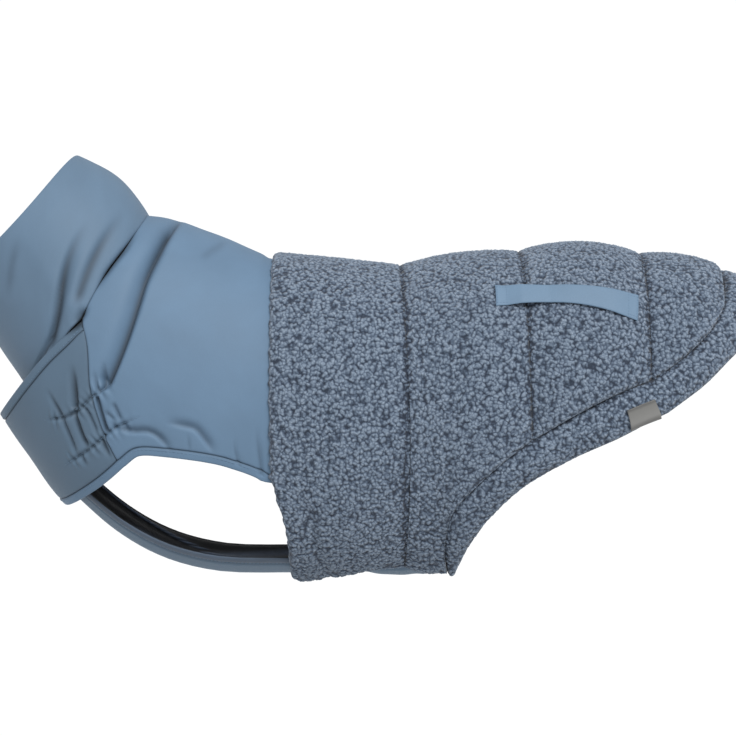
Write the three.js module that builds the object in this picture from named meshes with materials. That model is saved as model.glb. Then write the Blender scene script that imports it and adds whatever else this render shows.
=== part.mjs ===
// Dog winter coat, size 50: a softshell collar, yoke and chest band, a quilted sherpa back,
// and a strap under the chest. Millimetres. +X runs to the tail, +Z up, and the near flank is at negative Y.
// The coat is one tube round the body. Every panel is a patch of that tube with a wall on it.
import * as THREE from "three";

// Cloth thicknesses
const SEAM = 0.34;
const SOFTSHELL = 1.8;
const LINING = 0.9;
const HEM_EXTRA = 0.7;
const QUILT = 3.6;
const FLEECE_EDGE = 6.2;
const HEM_BAND = 7.4;
const TAPE = 1.2;
const LABEL = 0.9;

// Widths that a maker would mark
const NECK_HEM = 7;
const ARM_HEM = 7;
const STRAP_ANGLE = 29;
const STRAP_SLACK = 1.7;
const STRAP_START = 30;
const STRAP_END = 398;
const CENTRE = 180;

// Sections of the body tube, inside face.
// Columns: station along the back, top x and z, lowest x and z, half width
const sections = [
  { at: 0, topX: -98, topZ: 31, lowX: -214, lowZ: -123, half: 77 },
  { at: 24, topX: -76, topZ: 28, lowX: -194, lowZ: -153, half: 85 },
  { at: 51, topX: -50, topZ: 19, lowX: -164, lowZ: -195, half: 90 },
  { at: 68, topX: -34, topZ: 13, lowX: -131, lowZ: -221, half: 90 },
  { at: 85, topX: -18, topZ: 6, lowX: -87, lowZ: -243, half: 89 },
  { at: 98, topX: -7, topZ: 1, lowX: -38, lowZ: -254, half: 88 },
  { at: 106, topX: 0, topZ: -3, lowX: 8, lowZ: -255, half: 88 },
  { at: 156, topX: 50, topZ: -9, lowX: 32, lowZ: -254, half: 89 },
  { at: 208, topX: 102, topZ: -11, lowX: 54, lowZ: -254, half: 89 },
  { at: 257, topX: 150, topZ: -5, lowX: 74, lowZ: -254, half: 87 },
  { at: 308, topX: 201, topZ: 0, lowX: 94, lowZ: -254, half: 85 },
  { at: 357, topX: 250, topZ: 2, lowX: 110, lowZ: -255, half: 83 },
  { at: 401, topX: 294, topZ: -2, lowX: 124, lowZ: -257, half: 80 },
  { at: 458, topX: 350, topZ: -12, lowX: 144, lowZ: -260, half: 76 },
  { at: 492, topX: 381, topZ: -28, lowX: 156, lowZ: -262, half: 73 },
  { at: 518, topX: 404, topZ: -44, lowX: 166, lowZ: -264, half: 70 },
];

// Seams and edges in the side view, as x, z on the near flank
const NAPE = [-98, 31];
const NECK_CORNER = [-138, -44];
const neckSeam = [NAPE, [-107, 10], [-121, -11], NECK_CORNER];
const bandSeam = [NECK_CORNER, [-133, -66], [-131, -96], [-124, -124], [-112, -152]];
const neckEdge = [NECK_CORNER, [-150, -57], [-167, -73], [-185, -93], [-214, -123]];
const armTop = [[-112, -152], [-98, -142], [-75, -142], [-44, -145], [-21, -150], [6, -162]];
const fleeceFront = [[0, -3], [1.5, -46], [3, -105], [6, -162]];
const fleeceFrontLow = [[6, -162], [10.5, -199], [14.5, -222], [17.5, -244]];
const bibLow = [[-112, -152], [-129, -167], [-146, -179], [-168, -188]];
const fleeceLow = [[17.5, -244], [60, -247], [107, -247]];
const bellyEnd = [[107, -247], [124, -247], [141, -244]];
const rumpSeamLow = [[141, -244], [138, -215], [143, -192], [175, -158], [203, -137]];
const rumpSeamMid = [[203, -137], [245, -113], [294, -93]];
const rumpSeamHigh = [[294, -93], [315, -79], [338, -60], [353, -40]];
const rumpEdgeLow = [[148, -243], [158, -219], [171, -199], [195, -175], [228, -155]];
const rumpEdgeMid = [[228, -155], [270, -136], [308, -117]];
const rumpEdgeHigh = [[308, -117], [336, -97], [357, -78], [371, -66]];
const tapeTop = [[178, -21], [218, -18], [262, -22], [285, -28]];
const tapeLow = [[178, -35], [217, -32], [253, -36], [283, -46]];

// Stretches of the quilted back: their ends on the top line, the padding's rise, the lower edge they end on,
// and how far their columns bow forward to clear the rump seam
const channels = [
  { from: 0, to: 101, rise: 8.2, edge: fleeceLow, cells: 6, bow: 0, lastBow: 0 },
  { from: 101, to: 137, rise: 8.6, edge: bellyEnd, cells: 3, bow: 0, lastBow: 16 },
  { from: 137, to: 198, rise: 8.6, edge: rumpSeamLow, cells: 5, bow: 16, lastBow: 0 },
  { from: 198, to: 293, rise: 10.4, edge: rumpSeamMid, cells: 6, bow: 0, lastBow: 0 },
  { from: 293, to: 356, rise: 9.2, edge: rumpSeamHigh, cells: 4, bow: 0, lastBow: 0 },
];
const quilts = [101, 198, 293];

// Folds in the side view: a soft trough along x, z points. Columns: name, points, depth, half width
const folds = [
  { name: "yoke drag", line: [[-80, 12], [-88, -12], [-99, -52], [-113, -89]], deep: 4.0, wide: 9 },
  { name: "gather row 1", line: [[-163, -122], [-143, -114], [-121, -98], [-111, -91]], deep: 2.2, wide: 5 },
  { name: "gather row 2", line: [[-148, -153], [-131, -140], [-110, -124], [-90, -114]], deep: 2.2, wide: 5 },
  { name: "sleeve drag 1", line: [[-102, -128], [-84, -130], [-67, -142]], deep: 1.6, wide: 5 },
  { name: "sleeve drag 2", line: [[-70, -121], [-53, -127], [-40, -142]], deep: 1.4, wide: 5 },
  { name: "collar fold 1", line: [[-142, 22], [-156, -4], [-163, -50], [-178, -86]], deep: 6.0, wide: 9 },
  { name: "collar fold 2", line: [[-117, 28], [-129, 8], [-143, -36]], deep: 3.4, wide: 7 },
  { name: "collar ridge", line: [[-128, 38], [-146, 6], [-153, -46], [-166, -78]], deep: -2.6, wide: 8 },
];
// The far flank has the same folds, a little lower and softer
const FAR_SHIFT = -5;
const FAR_SHARE = 0.8;

// The collar tube: its rim in the side view, and how its foot passes inside the chest band
const rim = { topX: -153, topZ: 79, lowX: -246, lowZ: -18, half: 62, dip: 8 };
const COLLAR_BELLY = 8;
const foot = [
  { angle: 0, inset: 0, depth: -SEAM },
  { angle: 84, inset: 0, depth: -SEAM },
  { angle: 92, inset: 3, depth: -0.8 },
  { angle: 102, inset: 7, depth: 3 },
  { angle: 125, inset: 16, depth: 8 },
  { angle: 155, inset: 27, depth: 10 },
  { angle: 180, inset: 30, depth: 10 },
];

const rad = THREE.MathUtils.degToRad;
const lerp = THREE.MathUtils.lerp;

// A smooth curve through a table's column, by the slopes of its neighbouring rows
function column(table, key, name, at) {
  const last = table.length - 2;
  let i = 0;
  while (i < last && at > table[i + 1][key]) i += 1;
  const slope = (k) => {
    const a = table[Math.max(0, k - 1)];
    const b = table[Math.min(last + 1, k + 1)];
    return (b[name] - a[name]) / (b[key] - a[key]);
  };
  const p = table[i];
  const q = table[i + 1];
  const h = q[key] - p[key];
  const t = (at - p[key]) / h;
  return (
    (2 * t ** 3 - 3 * t ** 2 + 1) * p[name] +
    (t ** 3 - 2 * t ** 2 + t) * h * slope(i) +
    (3 * t ** 2 - 2 * t ** 3) * q[name] +
    (t ** 3 - t ** 2) * h * slope(i + 1)
  );
}

function section(at) {
  const value = (name) => column(sections, "at", name, at);
  return {
    top: new THREE.Vector2(value("topX"), value("topZ")),
    low: new THREE.Vector2(value("lowX"), value("lowZ")),
    half: value("half"),
  };
}

// A point of the inside face. The angle goes from 0 at the back over the near flank to 180 under the belly.
function bodyPoint({ at, angle }) {
  const s = section(at);
  const side = s.top.clone().lerp(s.low, (1 - Math.cos(rad(angle))) / 2);
  return new THREE.Vector3(side.x, -s.half * Math.sin(rad(angle)), side.y);
}

function bodyNormal({ at, angle }) {
  const along = bodyPoint({ at: at + 0.5, angle }).sub(bodyPoint({ at: at - 0.5, angle }));
  const round = bodyPoint({ at, angle: angle + 0.5 }).sub(bodyPoint({ at, angle: angle - 0.5 }));
  return along.cross(round).normalize().negate();
}

// Station and angle of a side view point on the near flank
function locate([x, z]) {
  const p = new THREE.Vector2(x, z);
  const aside = (at) => {
    const s = section(at);
    return s.low.clone().sub(s.top).cross(p.clone().sub(s.top));
  };
  let front = sections[0].at;
  let rear = sections[sections.length - 1].at;
  for (let k = 0; k < 40; k += 1) {
    const middle = (front + rear) / 2;
    if (aside(middle) < 0) rear = middle;
    else front = middle;
  }
  const s = section(front);
  const run = s.low.clone().sub(s.top);
  const share = THREE.MathUtils.clamp(p.sub(s.top).dot(run) / run.lengthSq(), 0, 1);
  return { at: front, angle: THREE.MathUtils.radToDeg(Math.acos(1 - 2 * share)) };
}

// A line of the side view laid on the tube and divided evenly
function seamLine(points, cells) {
  const placed = points.map(locate);
  const knots = placed.map((p) => new THREE.Vector3(p.at, p.angle, 0));
  const curve = new THREE.CatmullRomCurve3(knots, false, "centripetal");
  return curve.getSpacedPoints(cells).map((p) => ({ at: p.x, angle: p.y }));
}

function straightLine(from, to, cells) {
  return Array.from({ length: cells + 1 }, (_, k) => mix(from, to, k / cells));
}

function mix(a, b, share) {
  return { at: lerp(a.at, b.at, share), angle: lerp(a.angle, b.angle, share) };
}

// Moves a line sideways on the cloth by a width in millimetres, to the right of its run seen from outside
function moved(line, width) {
  return line.map((p, k) => {
    const before = bodyPoint(line[Math.max(0, k - 1)]);
    const after = bodyPoint(line[Math.min(line.length - 1, k + 1)]);
    const run = after.sub(before).normalize();
    const aside = run.cross(bodyNormal(p)).normalize().multiplyScalar(width);
    const here = bodyPoint(p);
    const along = bodyPoint({ at: p.at + 1, angle: p.angle }).sub(here);
    const round = bodyPoint({ at: p.at, angle: p.angle + 1 }).sub(here);
    const aa = along.dot(along);
    const ar = along.dot(round);
    const rr = round.dot(round);
    const a = aside.dot(along);
    const r = aside.dot(round);
    const size = aa * rr - ar * ar;
    return { at: p.at + (a * rr - r * ar) / size, angle: p.angle + (r * aa - a * ar) / size };
  });
}

// A four-sided patch between two side lines and two end lines
function patch(first, last, start, end) {
  const rows = start.length - 1;
  const cells = first.length - 1;
  return start.map((_, i) =>
    first.map((_, j) => {
      const s = i / rows;
      const t = j / cells;
      const across = mix(first[j], last[j], s);
      const down = mix(start[i], end[i], t);
      const corner = mix(mix(first[0], last[0], s), mix(first[cells], last[cells], s), t);
      return { at: across.at + down.at - corner.at, angle: across.angle + down.angle - corner.angle };
    }),
  );
}

// Mirrors each row over the back (turn 0) or under the belly (turn 360) and joins both flanks
function bothFlanks(grid, turn) {
  return grid.map((row) => {
    const other = row.map((p) => ({ at: p.at, angle: turn - p.angle }));
    if (turn === 0) return [...other.slice(1).reverse(), ...row];
    return [...row, ...other.slice(0, -1).reverse()];
  });
}

function distanceToLine(p, line) {
  let best = Infinity;
  for (let k = 0; k + 1 < line.length; k += 1) {
    const a = new THREE.Vector2(...line[k]);
    const run = new THREE.Vector2(...line[k + 1]).sub(a);
    const t = THREE.MathUtils.clamp(p.clone().sub(a).dot(run) / run.lengthSq(), 0, 1);
    best = Math.min(best, a.addScaledVector(run, t).distanceTo(p));
  }
  return best;
}

// How far the folds sink or lift the cloth at a point
function foldLift(point, names) {
  const far = point.y > 0;
  const p = new THREE.Vector2(point.x, point.z - (far ? FAR_SHIFT : 0));
  return folds
    .filter((f) => names.some((name) => f.name.startsWith(name)))
    .reduce((sum, f) => {
      const share = (far ? FAR_SHARE : 1) * Math.exp(-((distanceToLine(p, f.line) / f.wide) ** 2));
      return sum - f.deep * share;
    }, 0);
}

const SMOOTH_FOLDS = ["yoke", "gather", "sleeve"];

function softshellLift(p) {
  return foldLift(bodyPoint(p), SMOOTH_FOLDS);
}

// Outer rise of the quilted back over the tube at a point
function fleeceRise(p) {
  const point = bodyPoint(p);
  const inside = (c) => point.x >= c.from && point.x <= c.to;
  const channel = channels.find(inside) || channels[point.x < 100 ? 0 : channels.length - 1];
  const limits = [channels[0].from - 26, ...quilts, channels[4].to + 14];
  const after = limits.findIndex((x) => x > point.x);
  const k = after < 1 ? limits.length - 1 : after;
  const share = THREE.MathUtils.clamp((point.x - limits[k - 1]) / (limits[k] - limits[k - 1]), 0, 1);
  return QUILT + (channel.rise - QUILT) * Math.sqrt(Math.sin(Math.PI * share));
}

// Closed wall on a grid of places. inner and outer give the lift of each face over the tube.
function wallGeometry(grid, inner, outer, pointOf = bodyPoint, normalOf = bodyNormal, ring = false) {
  const rows = grid.length;
  const columns = grid[0].length;
  const points = [];
  const pull = (cell, i, j) => {
    const toward = pointOf(grid[Math.min(rows - 1, Math.max(0, i))][Math.min(columns - 1, Math.max(0, j))]);
    return toward.sub(cell);
  };
  grid.forEach((row, i) =>
    row.forEach((p, j) => {
      const here = pointOf(p);
      const shift = new THREE.Vector3();
      const step = (run) => run.lengthSq() > 0 && shift.addScaledVector(run.normalize(), SEAM / 2);
      if (i === 0) step(pull(here, 1, j));
      if (i === rows - 1) step(pull(here, rows - 2, j));
      if (!ring && j === 0) step(pull(here, i, 1));
      if (!ring && j === columns - 1) step(pull(here, i, columns - 2));
      const at = here.add(shift);
      const out = normalOf(p);
      points.push(at.clone().addScaledVector(out, outer(p, i, j)));
      points.push(at.clone().addScaledVector(out, inner(p, i, j)));
    }),
  );
  const index = [];
  const outerAt = (i, j) => 2 * (i * columns + (j % columns));
  const quad = (a, b, c, d) => index.push(a, d, c, a, c, b);
  const wide = ring ? columns : columns - 1;
  for (let i = 0; i + 1 < rows; i += 1) {
    for (let j = 0; j < wide; j += 1) {
      const [a, b, c, d] = [outerAt(i, j), outerAt(i + 1, j), outerAt(i + 1, j + 1), outerAt(i, j + 1)];
      quad(a, b, c, d);
      quad(d + 1, c + 1, b + 1, a + 1);
    }
  }
  for (let j = 0; j < wide; j += 1) {
    quad(outerAt(0, j), outerAt(0, j + 1), outerAt(0, j + 1) + 1, outerAt(0, j) + 1);
    const e = rows - 1;
    quad(outerAt(e, j + 1), outerAt(e, j), outerAt(e, j) + 1, outerAt(e, j + 1) + 1);
  }
  for (let i = 0; i + 1 < rows && !ring; i += 1) {
    quad(outerAt(i + 1, 0), outerAt(i, 0), outerAt(i, 0) + 1, outerAt(i + 1, 0) + 1);
    const e = columns - 1;
    quad(outerAt(i, e), outerAt(i + 1, e), outerAt(i + 1, e) + 1, outerAt(i, e) + 1);
  }
  const geometry = new THREE.BufferGeometry().setFromPoints(points);
  geometry.setIndex(index);
  return geometry;
}

// Colours from the photo, all cloth
const finishes = {
  softshell: { color: 0x76929f, roughness: 0.75 },
  collar: { color: 0x6b849b, roughness: 0.75 },
  lining: { color: 0x17191d, roughness: 0.6 },
  fleece: { color: 0x64717f, roughness: 1 },
  tape: { color: 0x7d98b2, roughness: 0.7 },
  label: { color: 0x787674, roughness: 0.5 },
};

// The origin is the inside of the back at the withers, on the wearer's back
const coat = new THREE.Group();
coat.position.z = -sections[6].topZ;

function addPiece(name, finish, geometry) {
  const cloth = new THREE.MeshStandardMaterial({ ...finishes[finish], metalness: 0 });
  const mesh = new THREE.Mesh(geometry, cloth);
  mesh.name = name;
  coat.add(mesh);
}

// Shared seam lines, so that the panels on both sides have the same corners
const NECK_CELLS = 8;
const BAND_CELLS = 8;
const ARM_CELLS = 12;
const BIB_CELLS = 15;
const FLANK_CELLS = 12;
const FRONT_LOW_CELLS = 4;

const neckLine = seamLine(neckSeam, NECK_CELLS);
const bandLine = seamLine(bandSeam, BAND_CELLS);
const armLine = seamLine(armTop, ARM_CELLS);
const bibLine = seamLine(bibLow, BIB_CELLS);
bibLine[BIB_CELLS].angle = CENTRE;
const collarEdge = seamLine(neckEdge, BIB_CELLS);
collarEdge[BIB_CELLS].angle = CENTRE;

// Yoke
{
  const front = [...neckLine, ...bandLine.slice(1)];
  const rear = seamLine(fleeceFront, NECK_CELLS + BAND_CELLS);
  const back = straightLine(neckLine[0], rear[0], ARM_CELLS);
  const grid = bothFlanks(patch(front, rear, back, armLine), 0);
  addPiece("yoke", "softshell", wallGeometry(grid, softshellLift, (p) => softshellLift(p) + SOFTSHELL));
}

// Chest band and the hem on its neck edge
{
  const hemLine = moved(collarEdge, -NECK_HEM).map((p, k) => (k === 0 ? bandLine[1] : p));
  hemLine[BIB_CELLS].angle = CENTRE;
  const side = bandLine.slice(1);
  const front = straightLine(hemLine[BIB_CELLS], bibLine[BIB_CELLS], BAND_CELLS - 1);
  const grid = bothFlanks(patch(hemLine, bibLine, side, front), 360);
  addPiece("chest_band", "softshell", wallGeometry(grid, softshellLift, (p) => softshellLift(p) + SOFTSHELL));
  const hem = bothFlanks([collarEdge, hemLine], 360);
  addPiece("neck_hem", "softshell", wallGeometry(hem, () => -HEM_EXTRA / 2, () => SOFTSHELL + HEM_EXTRA));
}

// Folded hems round the top of each armhole and along the bib, from the fleece to the centre front
{
  const upper = [...armLine.slice(1).reverse(), ...bibLine];
  const lower = moved(upper, -ARM_HEM);
  lower[lower.length - 1] = { at: lower[lower.length - 1].at, angle: CENTRE };
  lower[0] = { at: armLine[ARM_CELLS].at, angle: lower[0].angle };
  const far = (line) => line.map((p) => ({ at: p.at, angle: 360 - p.angle }));
  const inside = (p) => softshellLift(p) - HEM_EXTRA / 2;
  const outside = (p) => softshellLift(p) + SOFTSHELL + HEM_EXTRA;
  addPiece("armhole_hem_near", "softshell", wallGeometry([upper, lower], inside, outside));
  addPiece("armhole_hem_far", "softshell", wallGeometry([far(lower), far(upper)], inside, outside));
}

// How far the strap lies inside the tube: sewn under the bib, then a little way in,
// then against the fleece edges
const strapFit = [
  { at: 30, inset: SEAM },
  { at: 41, inset: 4 },
  { at: 54, inset: 9 },
  { at: 72, inset: 5 },
  { at: 92, inset: STRAP_SLACK },
  { at: 108, inset: STRAP_SLACK },
  { at: 398, inset: STRAP_SLACK },
];

function strapInset(at) {
  return Math.max(SEAM, column(strapFit, "at", "inset", at));
}

// Strap between the forelegs, which runs on under the belly, and its black lining
{
  const rows = 22;
  const across = 6;
  const grid = Array.from({ length: rows + 1 }, (_, i) => {
    const at = lerp(STRAP_START, STRAP_END, (i / rows) ** 1.6);
    return Array.from({ length: across + 1 }, (_, j) => {
      return { at, angle: CENTRE + STRAP_ANGLE * (2 * (j / across) - 1) };
    });
  });
  const sunk = (p) => -SOFTSHELL - strapInset(p.at);
  addPiece("belly_panel", "softshell", wallGeometry(grid, sunk, (p) => sunk(p) + SOFTSHELL));
  const under = (p) => sunk(p) - SEAM - LINING;
  addPiece("belly_lining", "lining", wallGeometry(grid, under, (p) => under(p) + LINING));
}

// Quilted fleece back: columns of the side view from the top line to the lower edge
const fleeceColumns = [];
{
  channels.forEach((c, k) => {
    const edge = seamLine(c.edge, c.cells);
    for (let i = k === 0 ? 0 : 1; i <= c.cells; i += 1) {
      const topX = lerp(c.from, c.to, i / c.cells);
      const at = topStation(topX);
      const foot = edge[i];
      const end = bodyPoint(foot);
      const top = section(at).top;
      const bow = lerp(c.bow, c.lastBow, i / c.cells);
      const front = k === 0 && i === 0;
      fleeceColumns.push(front ? fleeceFrontLine() : columnLine([top.x, top.y], [end.x, end.z], foot, bow));
    }
  });
  const grid = bothFlanks(fleeceColumns, 0);
  const last = fleeceColumns.length - 1;
  const outer = (p, i, j) => {
    const onEdge = i === 0 || i === last || j === 0 || j === 2 * FLANK_CELLS;
    return onEdge ? Math.min(FLEECE_EDGE, fleeceRise(p)) : fleeceRise(p);
  };
  addPiece("fleece_back", "fleece", wallGeometry(grid, () => 0, outer));
}

// Station whose top has this x
function topStation(x) {
  let front = sections[0].at;
  let rear = sections[sections.length - 1].at;
  for (let k = 0; k < 40; k += 1) {
    const middle = (front + rear) / 2;
    if (section(middle).top.x < x) front = middle;
    else rear = middle;
  }
  return front;
}

function fleeceFrontLine() {
  const upper = seamLine(fleeceFront, FLANK_CELLS - FRONT_LOW_CELLS);
  return [...upper, ...seamLine(fleeceFrontLow, FRONT_LOW_CELLS).slice(1)];
}

// A column of the side view divided by equal angles
function columnLine(a, b, foot, bow) {
  const line = [];
  for (let j = 0; j <= FLANK_CELLS; j += 1) {
    const dropTo = (angle) => 1 - Math.cos(rad(angle));
    const share = dropTo((j / FLANK_CELLS) * foot.angle) / dropTo(foot.angle);
    if (j === 0) line.push({ at: topStation(a[0]), angle: 0 });
    else if (j === FLANK_CELLS) line.push(foot);
    else {
      const forward = 4 * bow * share * (1 - share);
      line.push(locate([lerp(a[0], b[0], share) - forward, lerp(a[1], b[1], share)]));
    }
  }
  return line;
}

// Fleece band along the rear edge, round the tail end
const bandCells = [channels[2].cells, channels[3].cells, channels[4].cells];
const TAIL_CELLS = 4;
const rumpInner = [
  ...seamLine(rumpSeamLow, bandCells[0]),
  ...seamLine(rumpSeamMid, bandCells[1]).slice(1),
  ...seamLine(rumpSeamHigh, bandCells[2]).slice(1),
];
const tailCorner = rumpInner[rumpInner.length - 1];
const tailTop = { at: topStation(channels[4].to), angle: 0 };
rumpInner.push(...straightLine(tailCorner, tailTop, TAIL_CELLS).slice(1));
const rumpOuter = [
  ...seamLine(rumpEdgeLow, bandCells[0]),
  ...seamLine(rumpEdgeMid, bandCells[1]).slice(1),
  ...seamLine(rumpEdgeHigh, bandCells[2]).slice(1),
];
const tailSide = rumpOuter[rumpOuter.length - 1];
rumpOuter.push(...straightLine(tailSide, { at: 511, angle: 0 }, TAIL_CELLS).slice(1));
{
  const rows = 4;
  const start = 0.02;
  const half = Array.from({ length: rows + 1 }, (_, i) => {
    return rumpInner.map((p, j) => mix(p, rumpOuter[j], lerp(start, 1, i / rows)));
  });
  const grid = half.map((row) => {
    const far = row.map((p) => ({ at: p.at, angle: -p.angle }));
    return [...far.slice(0, -1), ...row.slice().reverse()];
  });
  const rise = [QUILT, HEM_BAND, HEM_BAND + 1, HEM_BAND, QUILT];
  addPiece("fleece_hem", "fleece", wallGeometry(grid, () => 0, (p, i) => rise[i]));
}

// Handle tape on the near flank, on the fleece
{
  const cells = 10;
  const grid = [seamLine(tapeLow, cells), seamLine(tapeTop, cells)];
  const under = (p) => fleeceRise(p) + SEAM + 0.6;
  addPiece("tape_band", "tape", wallGeometry(grid, under, (p) => under(p) + TAPE));
}

// Label folded over the rear edge: a plate on the band's outer face at its edge
{
  const corners = [[277, -114], [298, -107], [303, -118], [281, -130]].map(locate);
  const grid = [straightLine(corners[3], corners[2], 2), straightLine(corners[0], corners[1], 2)];
  const under = HEM_BAND + 1 + SEAM;
  addPiece("label", "label", wallGeometry(grid, () => under, () => under + LABEL));
}

// Collar: rings from the foot, on the neck edge or inside the chest band, up to the rim
{
  const footAt = (angle) => {
    const side = angle > 180 ? 360 - angle : angle;
    const line = [...neckLine, ...collarEdge.slice(1)];
    let k = 0;
    while (k < line.length - 2 && line[k + 1].angle < side) k += 1;
    const share = (side - line[k].angle) / (line[k + 1].angle - line[k].angle);
    const edge = lerp(line[k].at, line[k + 1].at, share);
    const inset = column(foot, "angle", "inset", side);
    const depth = column(foot, "angle", "depth", side);
    const place = { at: edge + depth, angle };
    return bodyPoint(place).addScaledVector(bodyNormal(place), -Math.max(0, inset));
  };
  const rimAt = (angle) => {
    const share = (1 - Math.cos(rad(angle))) / 2;
    const back = rim.dip * Math.sin(rad(angle)) ** 2 * Math.SQRT1_2;
    const x = lerp(rim.topX, rim.lowX, share) + back;
    return new THREE.Vector3(x, -rim.half * Math.sin(rad(angle)), lerp(rim.topZ, rim.lowZ, share) - back);
  };
  const axis = new THREE.Vector3(rim.topX + rim.lowX, 0, rim.topZ + rim.lowZ).multiplyScalar(0.5);
  const collarPoint = ({ at, angle }) => {
    const p = footAt(angle).lerp(rimAt(angle), at);
    const out = p.clone().sub(axis.clone().lerp(new THREE.Vector3(-150, 0, -35), 1 - at)).normalize();
    return p.addScaledVector(out, COLLAR_BELLY * Math.sin(Math.PI * at) * Math.cos(rad(angle) / 2) ** 2);
  };
  const collarNormal = ({ at, angle }) => {
    if (at === 0 && (angle < 84 || angle > 276)) return bodyNormal({ at: footStation(angle), angle });
    const near = Math.min(0.98, Math.max(0.02, at));
    const along = collarPoint({ at: near + 0.02, angle }).sub(collarPoint({ at: near - 0.02, angle }));
    const before = collarPoint({ at: near, angle: angle - 1 });
    const round = collarPoint({ at: near, angle: angle + 1 }).sub(before);
    return along.cross(round).normalize();
  };
  const footStation = (angle) => {
    const side = angle > 180 ? 360 - angle : angle;
    return column(neckLine.map((p) => ({ at: p.at, angle: p.angle })), "angle", "at", side);
  };
  const rows = 9;
  const around = 44;
  const grid = Array.from({ length: rows + 1 }, (_, i) =>
    Array.from({ length: around }, (_, j) => ({ at: i / rows, angle: (360 * j) / around })),
  );
  const fade = (at) => Math.min(1, 4 * at) * Math.min(1, 5 * (1 - at));
  const lift = (p) => foldLift(collarPoint(p), ["collar"]) * fade(p.at);
  const flipped = grid.slice().reverse();
  addPiece(
    "collar",
    "collar",
    wallGeometry(flipped, lift, (p) => lift(p) + SOFTSHELL, collarPoint, collarNormal, true),
  );
}

export default coat;
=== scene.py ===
# %% [markdown]
# # A dog's winter coat, filled out as it is worn
# The coat stands in the air as if a dog wore it: a soft turtleneck collar, a smooth yoke over the
# shoulders, a gathered chest band, a quilted fleece back and a strap that passes between the forelegs. The
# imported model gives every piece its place. Here each plain piece gets a finely meshed one, with folds,
# stitches and pile.

import bpy
import numpy as np
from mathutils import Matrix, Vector


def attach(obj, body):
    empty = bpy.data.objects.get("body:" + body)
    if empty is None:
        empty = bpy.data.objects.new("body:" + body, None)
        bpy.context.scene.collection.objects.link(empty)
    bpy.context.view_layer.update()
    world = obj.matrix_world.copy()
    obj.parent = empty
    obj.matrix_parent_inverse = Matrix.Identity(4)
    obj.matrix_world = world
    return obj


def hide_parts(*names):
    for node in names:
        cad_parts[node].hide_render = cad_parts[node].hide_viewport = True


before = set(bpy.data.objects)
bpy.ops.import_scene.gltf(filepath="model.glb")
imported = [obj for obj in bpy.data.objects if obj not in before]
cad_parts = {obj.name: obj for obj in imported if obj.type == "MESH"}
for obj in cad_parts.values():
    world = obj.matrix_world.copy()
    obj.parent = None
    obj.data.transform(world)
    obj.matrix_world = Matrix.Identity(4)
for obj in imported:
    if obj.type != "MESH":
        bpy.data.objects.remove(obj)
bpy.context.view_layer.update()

# %% [markdown]
# ## One tube for the whole body
# A worn coat is a tube round the body, and all its panels are patches of that tube. A table of sections
# says where the tube's back and belly lie at each station along the back. Sizes are in millimetres here,
# because a maker thinks in them, and they become metres when a mesh is made. A smooth curve runs through
# every column.

# %% The body tube
MM = 0.001
WITHERS = 3.0  # the frame's origin is this far under the tables' zero

# Columns: station along the back, top x and z, lowest x and z, half width
SECTIONS = np.array([
    (0, -98, 31, -214, -123, 77),
    (24, -76, 28, -194, -153, 85),
    (51, -50, 19, -164, -195, 90),
    (68, -34, 13, -131, -221, 90),
    (85, -18, 6, -87, -243, 89),
    (98, -7, 1, -38, -254, 88),
    (106, 0, -3, 8, -255, 88),
    (156, 50, -9, 32, -254, 89),
    (208, 102, -11, 54, -254, 89),
    (257, 150, -5, 74, -254, 87),
    (308, 201, 0, 94, -254, 85),
    (357, 250, 2, 110, -255, 83),
    (401, 294, -2, 124, -257, 80),
    (458, 350, -12, 144, -260, 76),
    (492, 381, -28, 156, -262, 73),
    (518, 404, -44, 166, -264, 70),
], float)


def hermite(t, start, stop, leave, reach):
    """A smooth curve from start to stop, whose slopes at both ends are given."""
    low = (2 * t**3 - 3 * t**2 + 1) * start + (t**3 - 2 * t**2 + t) * leave
    return low + (3 * t**2 - 2 * t**3) * stop + (t**3 - t**2) * reach


def column(table, key, at):
    """A smooth curve through one column of a table, whose first column is the place along it."""
    where, value = table[:, 0], table[:, key]
    slope = np.gradient(value, where)
    slope[1:-1] = (value[2:] - value[:-2]) / (where[2:] - where[:-2])
    k = np.clip(np.searchsorted(where, at) - 1, 0, len(where) - 2)
    width = where[k + 1] - where[k]
    return hermite((at - where[k]) / width, value[k], value[k + 1], width * slope[k], width * slope[k + 1])


def section(at):
    """The tube's top and lowest point in the side view, and its half width, at each station."""
    top_x, top_z, low_x, low_z, half = (column(SECTIONS, key, at) for key in range(1, 6))
    return np.stack([top_x, top_z], -1), np.stack([low_x, low_z], -1), half


def tube(places):
    """Points of the inside face. A place is a station and an angle: 0 at the back, 180 under the belly."""
    angle = np.radians(places[..., 1])
    top, low, half = section(places[..., 0])
    side = top + (low - top) * ((1 - np.cos(angle)) / 2)[..., None]
    return np.stack([side[..., 0], -half * np.sin(angle), side[..., 1]], -1)


def normals(surface, places, steps=(0.5, 0.5)):
    """Outward directions of a surface, from small steps along it and round it."""
    along, around = np.array([steps[0], 0.0]), np.array([0.0, steps[1]])
    run = surface(places + along) - surface(places - along)
    turn = surface(places + around) - surface(places - around)
    out = np.cross(turn, run)
    return out / np.linalg.norm(out, axis=-1, keepdims=True)


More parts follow.
